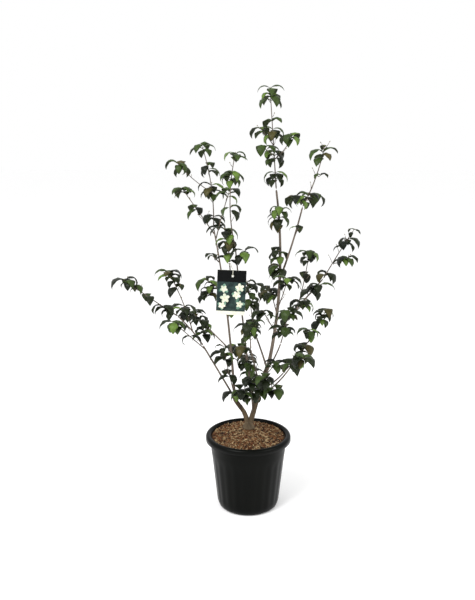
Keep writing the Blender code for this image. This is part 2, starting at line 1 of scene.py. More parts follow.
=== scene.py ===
"""The looks of a young dogwood in a nursery pot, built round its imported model.

The twigs and leaves grow by the same rule and from the same tables as the solid masses of the
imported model, and carry it on to buds, bare twigs and more leaves. Lengths are in metres.
"""

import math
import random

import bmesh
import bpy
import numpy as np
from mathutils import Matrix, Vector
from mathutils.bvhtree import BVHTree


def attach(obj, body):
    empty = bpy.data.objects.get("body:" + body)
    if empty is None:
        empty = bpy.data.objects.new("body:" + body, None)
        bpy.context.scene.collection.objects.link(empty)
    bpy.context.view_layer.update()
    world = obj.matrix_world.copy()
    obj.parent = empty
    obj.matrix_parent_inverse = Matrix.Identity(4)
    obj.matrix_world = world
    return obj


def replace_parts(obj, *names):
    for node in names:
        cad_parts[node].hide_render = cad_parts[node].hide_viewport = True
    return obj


bl_info = {
    "name": "Potted dogwood looks",
    "version": (1, 0, 0),
    "blender": (4, 5, 0),
    "location": "3D View > Sidebar > Dogwood",
    "description": "Leaves, bark, pot, bark chips, label and studio for the potted dogwood",
    "category": "Object",
}

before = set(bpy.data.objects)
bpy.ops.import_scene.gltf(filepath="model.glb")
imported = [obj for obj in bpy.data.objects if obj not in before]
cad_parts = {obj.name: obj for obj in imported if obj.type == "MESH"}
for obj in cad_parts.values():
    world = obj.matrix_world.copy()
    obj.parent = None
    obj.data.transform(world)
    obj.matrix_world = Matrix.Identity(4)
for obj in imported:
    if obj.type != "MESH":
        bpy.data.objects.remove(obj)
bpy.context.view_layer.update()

# The sizes and tables down to the label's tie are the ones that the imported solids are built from.
GAP = 0.0003
GROUND = 0.272
POT_WALL = 0.0025
POT_FLOOR = 0.003
FOOT_FLAT_RADIUS = 0.095
RIM_RADIUS = 0.150
RIM_RISE = 0.010
RIM_LIP_HEIGHT = 0.248
RIM_BEND_HEIGHT = 0.258
WALL_RADII = ((0.006, 0.1040), (0.020, 0.1095), (0.100, 0.1182), (0.170, 0.1258), (0.212, 0.1312))
NECK_INSIDE_RADIUS = 0.130
MULCH_EDGE_TOP = 0.256
MULCH_MOUND_RADIUS = 0.062
MULCH_EDGE_RADIUS = 0.1295
TRUNK_X, TRUNK_Y = 0.002, 0.035

# The root crown's radii from the flat cut at ground level to where the two legs part.
CROWN_HEIGHTS = (0.0, 0.006, 0.014, 0.030)
CROWN_RADII = (0.024, 0.019, 0.0155, 0.012)
LEFT_LEG = ((0.000, 0.035, 0.290), (-0.015, 0.032, 0.335), (-0.045, 0.014, 0.388), (-0.050, 0.017, 0.420))
LEFT_LEG_RADII = (0.0100, 0.0080, 0.0080, 0.0070)
RIGHT_LEG = ((0.005, 0.035, 0.290), (0.016, 0.033, 0.325), (0.050, 0.018, 0.460), (0.070, 0.010, 0.520))
RIGHT_LEG_RADII = (0.0105, 0.0085, 0.0080, 0.0075)

# Each limb: its name, what it grows from, how far along that, its tip, its bow and its two radii.
# The bow is how far the middle swings outwards and down, off the straight line from foot to tip.
LIMBS = (
    ("left_bough", "left_leg", 0.66, (-0.155, -0.040, 0.605), 0.000, 0.0036, 0.0028),
    ("left_outer_bough", "left_bough", 1.00, (-0.235, -0.070, 0.715), -0.004, 0.0028, 0.0020),
    ("left_stem", "left_leg", 1.00, (-0.120, 0.090, 0.985), -0.012, 0.0046, 0.0022),
    ("back_left_bough", "left_stem", 0.25, (-0.145, 0.160, 0.610), 0.000, 0.0026, 0.0020),
    ("centre_stem", "right_leg", 0.22, (-0.045, -0.030, 0.940), 0.003, 0.0040, 0.0021),
    ("middle_stem", "left_stem", 0.45, (-0.065, -0.030, 0.888), -0.008, 0.0026, 0.0020),
    ("front_stem", "right_leg", 0.60, (0.005, -0.150, 0.625), -0.010, 0.0034, 0.0022),
    ("inner_bough", "right_leg", 0.93, (0.022, 0.130, 0.605), 0.008, 0.0036, 0.0026),
    ("leader", "right_leg", 1.00, (0.090, 0.020, 1.125), 0.026, 0.0062, 0.0032),
    ("right_stem", "leader", 0.50, (0.170, -0.080, 1.080), 0.004, 0.0036, 0.0024),
    ("right_bough", "leader", 0.17, (0.260, 0.080, 0.810), -0.002, 0.0040, 0.0022),
    ("right_low_bough", "right_leg", 0.56, (0.115, -0.120, 0.535), 0.005, 0.0032, 0.0022),
    ("right_back_bough", "right_leg", 0.44, (0.180, 0.130, 0.515), 0.020, 0.0032, 0.0022),
    ("mid_right_bough", "right_leg", 0.88, (0.105, -0.100, 0.630), 0.004, 0.0030, 0.0022),
)

# Each foliage mass: its name, its carrier and how far along that, its stem's tip and bow, its
# rosettes (how far along the stem, how many leaves) and its side twigs (where each leaves the
# stem, its tip, its leaves).
MASSES = (
    ("left_outer", "left_outer_bough", 1.00, (-0.400, -0.120, 0.849), 0.002,
     ((0.20, 6), (0.55, 2), (1.0, 7)), ()),
    ("left_upper", "left_outer_bough", 0.45, (-0.280, 0.100, 0.829), -0.008,
     ((0.30, 5), (0.72, 2), (1.0, 6)), ()),
    ("left_low", "left_bough", 0.93, (-0.240, -0.210, 0.734), 0.000, ((0.50, 2), (1.0, 7)), ()),
    ("back_left", "back_left_bough", 1.00, (-0.210, 0.250, 0.643), -0.005, ((0.35, 6), (1.0, 4)),
     ((0.15, (-0.160, 0.200, 0.570), 4),)),
    ("left_stem_top", "left_stem", 1.00, (-0.160, 0.140, 1.263), -0.017,
     ((0.10, 4), (0.45, 7), (0.70, 4), (1.0, 5)), ((0.42, (-0.235, 0.020, 1.210), 6),)),
    ("upper_left", "left_stem", 0.96, (-0.235, 0.240, 1.104), 0.000, ((0.55, 3), (1.0, 6)), ()),
    ("upper_left_inner", "left_stem", 0.93, (-0.065, 0.030, 1.118), 0.002, ((0.25, 2), (1.0, 5)), ()),
    ("left_stem_spur", "left_stem", 0.79, (-0.130, 0.050, 0.903), 0.000, ((1.0, 3),), ()),
    ("label_left", "left_stem", 0.62, (-0.145, 0.020, 0.819), 0.000, ((1.0, 6),),
     ((0.55, (-0.145, 0.060, 0.750), 6),)),
    ("under_label", "middle_stem", 0.14, (-0.055, -0.010, 0.739), 0.000, ((1.0, 6),), ()),
    ("left_stem_low", "left_stem", 0.19, (-0.055, 0.075, 0.568), 0.000, ((1.0, 5),), ()),
    ("low_left", "left_leg", 0.84, (-0.085, -0.140, 0.633), 0.002,
     ((0.10, 2), (0.45, 3), (0.80, 5), (1.0, 3)), ()),
    ("middle", "middle_stem", 1.00, (-0.080, -0.040, 1.003), -0.004, ((0.12, 4), (0.50, 7), (1.0, 4)), ()),
    ("centre_top", "centre_stem", 1.00, (-0.045, -0.080, 1.248), 0.030,
     ((0.15, 2), (0.42, 4), (0.75, 8), (1.0, 5)), ()),
    ("centre_upper", "centre_stem", 0.91, (-0.015, -0.065, 0.933), 0.000, ((1.0, 4),), ()),
    ("centre_low", "centre_stem", 0.25, (-0.020, -0.095, 0.619), 0.000, ((0.35, 4), (1.0, 6)), ()),
    ("front", "front_stem", 1.00, (0.000, -0.220, 0.729), -0.008, ((0.45, 3), (1.0, 6)), ()),
    ("inner", "inner_bough", 1.00, (0.000, 0.260, 0.759), 0.020, ((0.10, 7), (0.60, 4), (1.0, 6)),
     ((0.25, (0.060, 0.285, 0.730), 6),)),
    ("leader_left", "leader", 0.20, (0.045, -0.140, 0.749), 0.000, ((1.0, 6),), ()),
    ("leader_inner", "leader", 0.30, (0.075, 0.070, 0.778), 0.000, ((1.0, 5),), ()),
    ("leader_right", "leader", 0.33, (0.120, -0.160, 0.859), 0.002, ((1.0, 7),), ()),
    ("leader_low", "leader", 0.46, (0.100, -0.015, 0.924), 0.000, ((0.40, 5), (1.0, 6)), ()),
    ("leader_mid", "leader", 0.76, (0.100, -0.015, 1.068), 0.000, ((0.45, 6), (1.0, 4)), ()),
    ("leader_top", "leader", 1.00, (0.067, 0.030, 1.448), 0.000,
     ((0.12, 6), (0.32, 7), (0.55, 6), (0.68, 2), (0.88, 4), (1.0, 5)),
     ((0.30, (0.135, -0.040, 1.300), 5), (0.44, (0.042, 0.055, 1.318), 4),
      (0.34, (0.040, -0.020, 1.268), 4))),
    ("right_top", "right_stem", 1.00, (0.230, -0.130, 1.273), 0.008, ((0.12, 6), (0.85, 5), (1.0, 3)),
     ((0.05, (0.145, -0.120, 1.115), 5), (0.12, (0.215, -0.030, 1.110), 6),
      (0.55, (0.222, -0.105, 1.182), 2))),
    ("right_stem_spur", "right_stem", 0.62, (0.160, -0.090, 1.018), 0.000, ((1.0, 3),), ()),
    ("right_outer", "right_bough", 1.00, (0.370, 0.140, 0.973), -0.002, ((0.05, 5), (0.72, 7), (1.0, 3)),
     ((0.30, (0.340, 0.055, 0.890), 4),)),
    ("right_mid", "right_bough", 0.70, (0.235, -0.040, 0.814), 0.000, ((0.35, 3), (1.0, 7)), ()),
    ("right_thin", "right_bough", 0.48, (0.225, 0.240, 0.879), 0.005, ((0.12, 3), (0.60, 2), (1.0, 7)), ()),
    ("right_crook", "right_bough", 0.30, (0.185, -0.060, 0.758), 0.000, ((1.0, 4),), ()),
    ("mid_right", "mid_right_bough", 1.00, (0.120, -0.240, 0.779), 0.002, ((0.40, 6), (1.0, 8)), ()),
    ("fork_spur", "right_leg", 0.78, (0.095, -0.065, 0.553), 0.000, ((1.0, 5),), ()),
    ("right_low", "right_low_bough", 1.00, (0.165, -0.300, 0.644), -0.007, ((0.35, 6), (1.0, 7)), ()),
    ("right_back", "right_back_bough", 1.00, (0.290, 0.240, 0.654), 0.010, ((0.15, 6), (0.75, 3), (1.0, 8)),
     ((0.30, (0.215, 0.080, 0.625), 6),)),
    ("low_back", "right_leg", 0.30, (0.000, 0.220, 0.484), 0.000, ((0.60, 5), (1.0, 7)), ()),
    ("low_front_left", "right_leg", 0.16, (0.005, -0.130, 0.519), 0.000, ((0.50, 5), (1.0, 7)),
     ((0.45, (-0.030, -0.095, 0.465), 5),)),
    ("low_front_right", "right_leg", 0.36, (0.050, -0.180, 0.539), 0.000, ((0.45, 5), (1.0, 8)),
     ((0.50, (0.095, -0.120, 0.480), 6),)),
)
STEM_RADII = (0.0020, 0.0013)
TWIG_RADII = (0.0014, 0.0011)
STEM_SPACING = 0.035
LIMB_SPACING = 0.055

LEAF_LENGTH = 0.068
LEAF_WIDTH = 0.033
LEAF_RIDGE = 0.0040
# How far along a leaf each of its two sections lies, and its share of the full width.
LEAF_SECTIONS = ((0.34, 1.0), (0.70, 0.82))
# A tip with this few leaves is new growth, whose leaves are smaller.
YOUNG_COUNT = 3
YOUNG_SIZE = 0.65
PAIR_SPACING = 0.011
ROOT_DEPTH = 0.001
MASS_REACH = 0.085
LEAF_CLEARANCE = 0.0010
LEAF_TRIES = 6
LEAF_TURN = math.radians(25)
BLADE_START = 0.35

CARD_SIZE = (0.096, 0.0010, 0.152)
CARD_CENTRE = (-0.059, -0.058, 0.793)
CARD_TURN = math.radians(2.5)
CARD_HOLE_DROP = 0.020
CARD_HOLE_X = 0.003
TIE_RADIUS = 0.0008
TIE_AT = 0.985

# The pot: points round its rim's crest, under it, up its wall and round its girth, and its flutes.
CREST_POINTS = 15
UNDER_RIM_POINTS = 9
WALL_RINGS = 24
POT_AROUND = 240
INNER_FLOOR_RADIUS = 0.05
FLUTES_START, FLUTES_FADE_IN = 0.01, 0.03
FLUTES_END, FLUTES_FADE_OUT = 0.20, 0.02

# The mulch: a bed a little below the chips, which stand a little higher at the wall.
BED_RINGS, BED_SPOKES = 60, 180
BED_DEPTH, BED_RELIEF, BED_GRAIN, BED_SEED = 0.003, 0.0022, 0.02, 5
SHOULDER_SAG = 0.002
SHOULDER_CHIPS, EDGE_CHIPS = 0.002, 0.004
CHIP_MARGIN = 0.006
CHIP_LENGTHS, CHIP_WIDTHS, CHIP_THICKNESSES = (0.005, 0.015), (0.0016, 0.0045), (0.0008, 0.0020)
CHIP_TAPER = (0.45, 1.0, 0.9, 0.4)
CHIP_BEND, CHIP_TILT, CHIP_ROLL, CHIP_ROUGHNESS = 0.25, 0.22, 0.35, 0.2
CHIP_HEIGHTS = (-0.002, 0.0025)
CHIP_KINDS = (("tan", 0.32), ("brown", 0.34), ("dark", 0.18), ("red", 0.16))
CHIP_SEED = 11

# The bark: steps along a limb, points round it, the grain of its relief, and its foot's collar.
OLD_STEP, OLD_AROUND, OLD_GRAIN = 0.0025, 28, 0.012
YOUNG_STEP, YOUNG_AROUND, YOUNG_GRAIN = 0.004, 14, 0.010
STEM_STEP, STEM_AROUND, STEM_GRAIN, STEM_RELIEF = 0.006, 8, 0.006, 0.00006
BOUGH_COLLAR, STEM_COLLAR, COLLAR_LENGTH = 0.3, 0.35, 0.012
TIP_NARROWING = 0.75
RELIEF_OCTAVES, RELIEF_WAVES = 4, 4
RELIEF_FINER, RELIEF_FAINTER, RELIEF_TOTAL = 1.9, 1.7, 6.0
RELIEF_STREAK = (1.0, 1.0, 0.35)

# The bare twigs and the buds.
TWIG_BOW = 0.006
BARE_SPACING, BARE_LENGTHS, BARE_SHARES = 0.045, (0.012, 0.034), (0.3, 0.95)
BARE_RADII, BARE_AROUND, BARE_STEP, BARE_BOW, BARE_SEED = (0.0010, 0.0007), 6, 0.004, 0.0015, 1000
BARE_COUNTS, BARE_RISE, BARE_LEAN = (0, 1, 1, 2), (0.3, 0.9), 0.9
BUD_LENGTH, BUD_RADIUS, BUD_DEPTH, BUD_STATIONS, BUD_AROUND = 0.0065, 0.0014, 0.001, 6, 6
BUD_START, BUD_POWER, BUD_TIP_RADIUS = 0.12, 0.7, 0.0002

# The leaves differ from the solid ones: more to a rosette, thin, waved, and on a short stalk.
EXTRA_LEAVES, EXTRA_HIGH_LEAVES, HIGH_CROWN = 4, 1, 0.95
ALONG_LEAF, ROUND_LEAF = 9, 8
STATION_POWER = 0.9
BLADE_POWER = 0.60
BLADE_THICKNESS = 0.0007
STALK_SHARE, STALK_RADIUS, STALK_THICKNESS, STALK_END = 0.10, 0.0007, 0.00112, 0.02
STALK_TAPER = 0.9
FOLD_LEAST, FOLD_SPREAD = 0.10, 0.28
WAVE_TURN = 16.0
ROSETTE_SIZES = (0.84, 1.12)
PAIR_SHRINK, PAIR_LIFT = 0.05, math.radians(4)
PAIR_TURN, LEAF_SWAY = math.radians(40), math.radians(16)
LIFTS, CURLS = (32, 66), (130, 210)

# How the leaves' colours are dealt out: bronze ones anywhere, young ones by height and at tips.
LEAF_KINDS = ("dark", "deep", "mid", "light", "bronze")
BRONZE_SHARE = 0.05
YOUNG_SHARE, YOUNG_PER_METRE, YOUNG_AT_TIP, TIP_SHARE = 0.16, 1.1, 0.12, 0.9
LIGHT_OF_YOUNG, MID_OF_YOUNG, DEEP_SHARE = 0.45, 1.5, 0.4

# The label's print lies this far in front of the card, and its petals a little further.
PRINT_MARGIN, PRINT_OUT, PRINT_BACK = 0.0002, 0.00025, 0.0001
PATCH_HOLE = 0.0034
PETAL_OUT, PETAL_STEP, PETAL_SINK, PETAL_POINTS, PETAL_SLIMNESS = 0.0004, 0.0001, 0.00006, 12, 0.66
LEAF_REACH, PETAL_REACH, HEART_REACH = 0.0092, 0.0090, 0.0016
LEAF_SIZES, PETAL_SIZES, HEART_SIZE = (0.8, 1.0), (0.62, 1.0), 0.5
LEAVES_EACH, PETALS_EACH, HEARTS_EACH = 3, 5, 6
SPOT_ROWS, SPOT_EDGE, SPOT_MARGIN, SPOT_SWAY = 3, 0.021, 0.0185, 0.0055
SPOT_RISE, MIDDLE_RISE = 0.003, 0.006
ROW_SWAY, SIDE_SWAY = 3.7, 1.3
PRINT_SEED = 8
TIE_AROUND, TIE_STEP, TIE_CLEARANCE = 10, 0.2, 2.4 * GAP
LOOP_SIDE = (0.31, 0.17, 0.93)

# The patterns' grain: the size of one patch of each noise.
RAMP_ENDS = (0.32, 0.68)
LEAF_BLOTCH, LEAF_SHADES = 0.0238, (0.72, 1.32)
BLADE_GLOSS, WAXY, MATT_UNDERSIDE = 0.16, 0.40, 0.62
VEIN_LEAN, VEIN_TURN, VEIN_DEPTH, VEIN_STRENGTH = -0.28, 40.0, 0.0006, 0.35
OLD_CRACK, YOUNG_CRACK, TWIG_CRACK, BUD_SCALE = 0.01818, 0.0125, 0.00833, 0.004167
CRACK_DEPTH, LIMB_STREAK = 0.001, (1.0, 1.0, 0.25)
OLD_STRENGTH, YOUNG_STRENGTH, TWIG_STRENGTH, BUD_STRENGTH = 0.6, 0.35, 0.25, 0.2
POT_CLOUD, POT_GRAIN = 0.111, 0.003846
DUST_STREAK, MOULD_GLOSS, MOULD_DEPTH, MOULD_STRENGTH = (1.0, 1.0, 0.3), (0.24, 0.42), 0.0006, 0.12
CHIP_FIBRE, CHIP_SHADES, FIBRE_DEPTH, FIBRE_STRENGTH = 0.00625, (0.6, 1.35), 0.0008, 0.5
MIX_CRUMB = 0.00714
CARD_DRIFT, PICTURE_DRIFT, TIE_DRIFT = 0.01667, 0.01818, 0.01111
PRINT_DEPTH, PRINT_STRENGTH = 0.0003, 0.03

# The camera stands where the photograph was taken from, whose frame is 475 by 600 pixels.
CAMERA_PLACE = (-0.038, -2.6, 1.395)
CAMERA_PITCH = math.radians(90 - 13.86)
SENSOR = 36.0
LENS = 47.36
KEY_PLACE, FILL_PLACE, LIGHT_SIZE = (-1.6, -1.9, 3.0), (2.2, -1.2, 1.8), 1.6
LIGHT_AIM = (0.0, 0.0, 0.7)


def colour_property(name, description, default):
    return bpy.props.StringProperty(name=name, description=description + ", as sRGB hex", default=default)


def length_property(name, description, default):
    return bpy.props.FloatProperty(name=name, description=description, default=default, unit="LENGTH")


class LeafSettings(bpy.types.PropertyGroup):
    """The leaves' colours and how much their edges wave."""

    dark: colour_property("Dark leaf", "Colour of most leaves", "#171f0b")
    deep: colour_property("Deep leaf", "Colour of the oldest leaves", "#10160a")
    mid: colour_property("Middle leaf", "Colour of younger leaves", "#2e3e17")
    light: colour_property("Light leaf", "Colour of the youngest leaves", "#50672a")
    bronze: colour_property("Bronze leaf", "Colour of a few turning leaves", "#3f3b1d")
    under: colour_property("Underside", "Colour of every leaf's underside", "#333c24")
    wave: length_property("Edge wave", "Height of the wave along a leaf's edge", 0.0013)


class BarkSettings(bpy.types.PropertyGroup):
    """The bark's colours and the depth of its relief."""

    old_dark: colour_property("Old bark, dark", "Colour of the trunk's cracks", "#332a1f")
    old_light: colour_property("Old bark, light", "Colour of the trunk's ridges", "#665742")
    young_dark: colour_property("Young bark, dark", "Darker colour of the boughs", "#40382f")
    young_light: colour_property("Young bark, light", "Lighter colour of the boughs", "#706459")
    twig_dark: colour_property("Twigs, dark", "Darker colour of the twigs", "#3f372f")
    twig_light: colour_property("Twigs, light", "Lighter colour of the twigs", "#6b6055")
    bud_dark: colour_property("Buds, dark", "Darker colour of the bud scales", "#4d4a2c")
    bud_light: colour_property("Buds, light", "Lighter colour of the bud scales", "#7c7048")
    old_relief: length_property("Old bark relief", "Depth of the relief on the trunk", 0.0007)
    young_relief: length_property("Young bark relief", "Depth of the relief on the boughs", 0.00015)


class PotSettings(bpy.types.PropertyGroup):
    """The pot's colours and flutes."""

    dark: colour_property("Pot, dark", "Darker colour of the plastic", "#020302")
    light: colour_property("Pot, light", "Colour of the plastic where it is dusty", "#070806")
    mix_dark: colour_property("Mix, dark", "Darker colour of the potting mix", "#1d150e")
    mix_light: colour_property("Mix, light", "Lighter colour of the potting mix", "#3a2a1c")
    flutes: bpy.props.IntProperty(name="Flutes", description="Flutes round the wall", default=24, min=0)
    flute_depth: length_property("Flute depth", "Depth of the flutes", 0.0010)


class MulchSettings(bpy.types.PropertyGroup):
    """The bark chips' number and colours."""

    chips: bpy.props.IntProperty(name="Bark chips", description="Chips on the mulch", default=3000, min=0)
    bed: colour_property("Crumbled bark", "Colour of the bed under the chips", "#4a3524")
    tan: colour_property("Tan chips", "Colour of about a third of the chips", "#97805f")
    brown: colour_property("Brown chips", "Colour of another third", "#6a4a2e")
    dark: colour_property("Dark chips", "Colour of the wet chips", "#33231a")
    red: colour_property("Red chips", "Colour of the inner bark", "#5e3720")


class LabelSettings(bpy.types.PropertyGroup):
    """The picture label's layout."""

    header_height: length_property("Header height", "Height of the dark band at the top", 0.040)
    strip_height: length_property("Strip height", "Height of the pale strip at the foot", 0.013)


class StudioSettings(bpy.types.PropertyGroup):
    """The floor and the lights."""

    floor_size: length_property("Floor size", "Side of the floor", 30.0)
    floor: colour_property("Floor", "Colour of the floor", "#fefefe")
    sky: bpy.props.FloatProperty(name="Sky", description="Strength of the even white light", default=1.0)
    key_power: bpy.props.FloatProperty(
        name="Key light", description="Power of the key light in watts", default=95.0, subtype="POWER"
    )
    fill_power: bpy.props.FloatProperty(
        name="Fill light", description="Power of the fill light in watts", default=30.0, subtype="POWER"
    )


def linear(colour):
    """A hex sRGB colour as linear RGBA."""
    parts = [int(colour[i:i + 2], 16) / 255 for i in (1, 3, 5)]
    return (*[c / 12.92 if c <= 0.04045 else ((c + 0.055) / 1.055) ** 2.4 for c in parts], 1.0)


def shade(colour, factor):
    """A linear colour made darker or lighter."""
    return (*[min(1.0, c * factor) for c in colour[:3]], 1.0)


def add_node(tree, kind, **inputs):
    """Adds a shader node. A setting is set, a socket is linked, and any other value goes on its socket."""
    node = tree.nodes.new(kind)
    for name, value in inputs.items():
        key = int(name[1:]) if name[1:].isdigit() else name.replace("_", " ")
        if hasattr(node, name):
            setattr(node, name, value)
        elif isinstance(value, bpy.types.NodeSocket):
            tree.links.new(value, node.inputs[key])
        else:
            node.inputs[key].default_value = value
    return node


def new_material(name, **settings):
    """A Principled material with its plain settings made, as (material, tree, shader)."""
    made = bpy.data.materials.new(name)
    made.use_nodes = True
    shader = made.node_tree.nodes["Principled BSDF"]
    for key, value in settings.items():
        shader.inputs[key.replace("_", " ")].default_value = value
    return made, made.node_tree, shader


def mottled(tree, shader, dark, light, size, detail=4.0, stretch=(1.0, 1.0, 1.0)):
    """Mixes two colours in patches of this size as the base colour, and returns the noise node."""
    place = add_node(tree, "ShaderNodeTexCoord")
    sized = add_node(tree, "ShaderNodeMapping", Vector=place.outputs["Object"], Scale=stretch)
    spot = sized.outputs["Vector"]
    noise = add_node(tree, "ShaderNodeTexNoise", Vector=spot, Scale=1 / size, Detail=detail)
    ramp = add_node(tree, "ShaderNodeValToRGB", Fac=noise.outputs["Fac"])
    for stop, position, colour in zip(ramp.color_ramp.elements, RAMP_ENDS, (dark, light)):
        stop.position = position
        stop.color = colour
    tree.links.new(ramp.outputs["Color"], shader.inputs["Base Color"])
    return noise


def add_bump(tree, shader, height, strength, distance):
    """Presses a height pattern into the surface."""
    bump = add_node(tree, "ShaderNodeBump", Height=height, Strength=strength, Distance=distance)
    tree.links.new(bump.outputs["Normal"], shader.inputs["Normal"])


def leaf_material(name, colour, roughness):
    """A waxy leaf: satin green with faint blotches, and curved side veins pressed into it.

    The veins are a sine of the place along the blade less a lean off the midrib, so they sweep forward.
    """
    made, tree, shader = new_material(name, Roughness=roughness, Specular_IOR_Level=BLADE_GLOSS)
    dark, light = (shade(linear(colour), factor) for factor in LEAF_SHADES)
    mottled(tree, shader, dark, light, LEAF_BLOTCH)
    chart = add_node(tree, "ShaderNodeUVMap", uv_map="leaf")
    split = add_node(tree, "ShaderNodeSeparateXYZ", Vector=chart.outputs["UV"])
    off_rib = add_node(tree, "ShaderNodeMath", operation="ABSOLUTE", _0=split.outputs["X"])
    along = split.outputs["Y"]
    leaning = add_node(
        tree, "ShaderNodeMath", operation="MULTIPLY_ADD", _0=off_rib.outputs[0], _1=VEIN_LEAN, _2=along
    )
    turns = add_node(tree, "ShaderNodeMath", operation="MULTIPLY", _0=leaning.outputs[0], _1=VEIN_TURN)
    veins = add_node(tree, "ShaderNodeMath", operation="SINE", _0=turns.outputs[0])
    add_bump(tree, shader, veins.outputs[0], VEIN_STRENGTH, VEIN_DEPTH)
    return made


def bark_material(name, dark, light, size, strength):
    """Dry bark: a matt streaked colour along the limb, and fine cracks that catch the light."""
    made, tree, shader = new_material(name, Roughness=0.82, Specular_IOR_Level=0.25)
    noise = mottled(tree, shader, linear(dark), linear(light), size, 6.0, LIMB_STREAK)
    add_bump(tree, shader, noise.outputs["Fac"], strength, CRACK_DEPTH)
    return made


def pot_material(dark, light):
    """Black moulded polypropylene: satin, clouded by dust, with the mould's fine grain in its gloss."""
    made, tree, shader = new_material("black_polypropylene", Specular_IOR_Level=0.07)
    mottled(tree, shader, linear(dark), linear(light), POT_CLOUD, 5.0, DUST_STREAK)
    place = add_node(tree, "ShaderNodeTexCoord")
    grain = add_node(
        tree, "ShaderNodeTexNoise", Vector=place.outputs["Object"], Scale=1 / POT_GRAIN, Detail=3.0
    )
    least, most = MOULD_GLOSS
    rough = add_node(tree, "ShaderNodeMapRange", Value=grain.outputs["Fac"], To_Min=least, To_Max=most)
    tree.links.new(rough.outputs["Result"], shader.inputs["Roughness"])
    add_bump(tree, shader, grain.outputs["Fac"], MOULD_STRENGTH, MOULD_DEPTH)
    return made


def chip_material(name, colour):
    """A dry shred of bark: matt, with darker and paler fibres that stand up a little."""
    made, tree, shader = new_material(name, Roughness=0.9, Specular_IOR_Level=0.2)
    dark, light = (shade(linear(colour), factor) for factor in CHIP_SHADES)
    noise = mottled(tree, shader, dark, light, CHIP_FIBRE, 5.0)
    add_bump(tree, shader, noise.outputs["Fac"], FIBRE_STRENGTH, FIBRE_DEPTH)
    return made


def mix_material(dark, light):
    """Moist potting mix: matt dark crumbs."""
    made, tree, shader = new_material("moist_potting_mix", Roughness=0.95)
    mottled(tree, shader, linear(dark), linear(light), MIX_CRUMB)
    return made


def printed_material(name, dark, light, size=CARD_DRIFT):
    """Satin printed plastic card, whose ink drifts softly between two tones."""
    made, tree, shader = new_material(name, Roughness=0.45, Specular_IOR_Level=0.10)
    noise = mottled(tree, shader, linear(dark), linear(light), size, 3.0)
    add_bump(tree, shader, noise.outputs["Fac"], PRINT_STRENGTH, PRINT_DEPTH)
    return made


def tie_material():
    """A soft pale plastic loop, a little yellowed in places."""
    made, tree, shader = new_material("soft_pale_plastic", Roughness=0.5)
    mottled(tree, shader, linear("#c9c8b4"), linear("#dddccb"), TIE_DRIFT)
    return made


def add_piece(name, surface, materials, smooth=True, indices=None, charts=None):
    """A mesh object at the origin from a surface's points and faces, riding on the plant's one body."""
    points, faces = surface
    mesh = bpy.data.meshes.new(name)
    mesh.from_pydata(points.tolist(), [], faces.tolist())
    for material in materials:
        mesh.materials.append(material)
    if indices is not None:
        mesh.polygons.foreach_set("material_index", indices)
    if charts is not None:
        layer = mesh.uv_layers.new(name="leaf")
        corners = np.empty(len(mesh.loops), np.int32)
        mesh.loops.foreach_get("vertex_index", corners)
        layer.data.foreach_set("uv", charts[corners].ravel())
    mesh.polygons.foreach_set("use_smooth", [smooth] * len(mesh.polygons))
    mesh.update()
    made = bpy.data.objects.new(name, mesh)
    bpy.context.scene.collection.objects.link(made)
    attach(made, "root")
    return made


def repaint(node, material):
    """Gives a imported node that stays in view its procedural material."""
    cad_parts[node].data.materials.clear()
    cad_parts[node].data.materials.append(material)


def ring_faces(rows, columns):
    """Quads between each row of points and the next, closed round the columns."""
    row, column = np.meshgrid(np.arange(rows - 1), np.arange(columns), indexing="ij")
    after = (column + 1) % columns
    first, second = row * columns, (row + 1) * columns
    return np.stack([first + column, first + after, second + after, second + column], -1).reshape(-1, 4)


def join(surfaces):
    """Several surfaces as one."""
    points, faces, start = [], [], 0
    for some_points, some_faces in surfaces:
        points.append(some_points)
        faces.append(some_faces + start)
        start += len(some_points)
    return np.concatenate(points), np.concatenate(faces)


def catmull_rom(a, b, c, d, t):
    """The point at t of the way from b to c on the curve through a, b, c and d."""
    return 0.5 * (2 * b + (c - a) * t + (2 * a - 5 * b + 4 * c - d) * t**2 + (3 * b - a - 3 * c + d) * t**3)


def smooth_path(path, step):
    """The path resampled every step or so along a Catmull-Rom curve through its points."""
    knots = np.array([tuple(p) for p in path])
    ends = np.concatenate([[2 * knots[0] - knots[1]], knots, [2 * knots[-1] - knots[-2]]])
    lengths = np.linalg.norm(np.diff(knots, axis=0), axis=1)
    along = np.linspace(0, lengths.sum(), max(4, int(round(lengths.sum() / step))))
    starts = np.concatenate([[0], np.cumsum(lengths)])
    cell = np.clip(np.searchsorted(starts, along, "right") - 1, 0, len(lengths) - 1)
    return catmull_rom(*(ends[cell + k] for k in range(4)), ((along - starts[cell]) / lengths[cell])[:, None])


def frames_along(path):
    """Two unit normals at each point of a path, turned as little as possible from one to the next."""
    heading = np.gradient(path, axis=0)
    heading /= np.linalg.norm(heading, axis=1, keepdims=True)
    side = np.cross(heading[0], [0.0, 1.0, 0.0] if abs(heading[0][1]) < 0.9 else [1.0, 0.0, 0.0])
    sides = []
    for direction in heading:
        side = side - side @ direction * direction
        side = side / np.linalg.norm(side)
        sides.append(side)
    return np.array(sides), np.cross(heading, sides)


def around_path(side, other, columns):
    """Unit directions square to a path: cos a times its one normal plus sin a times the other."""
    angle = np.linspace(0, 2 * math.pi, columns, endpoint=False)
    return np.cos(angle)[None, :, None] * side[:, None] + np.sin(angle)[None, :, None] * other[:, None]


def relief(points, seed, grain):
    """An uneven value for each point: sine waves of random directions, finer and fainter by octaves."""
    rng = np.random.default_rng(seed)
    total = np.zeros(len(points))
    for octave in range(RELIEF_OCTAVES):
        for _ in range(RELIEF_WAVES):
            wave = rng.normal(size=3) * RELIEF_STREAK
            wave *= 2 * math.pi / grain * RELIEF_FINER**octave / np.linalg.norm(wave)
            total += np.sin(points @ wave + rng.uniform(0, 2 * math.pi)) / RELIEF_FAINTER**octave
    return total / RELIEF_TOTAL


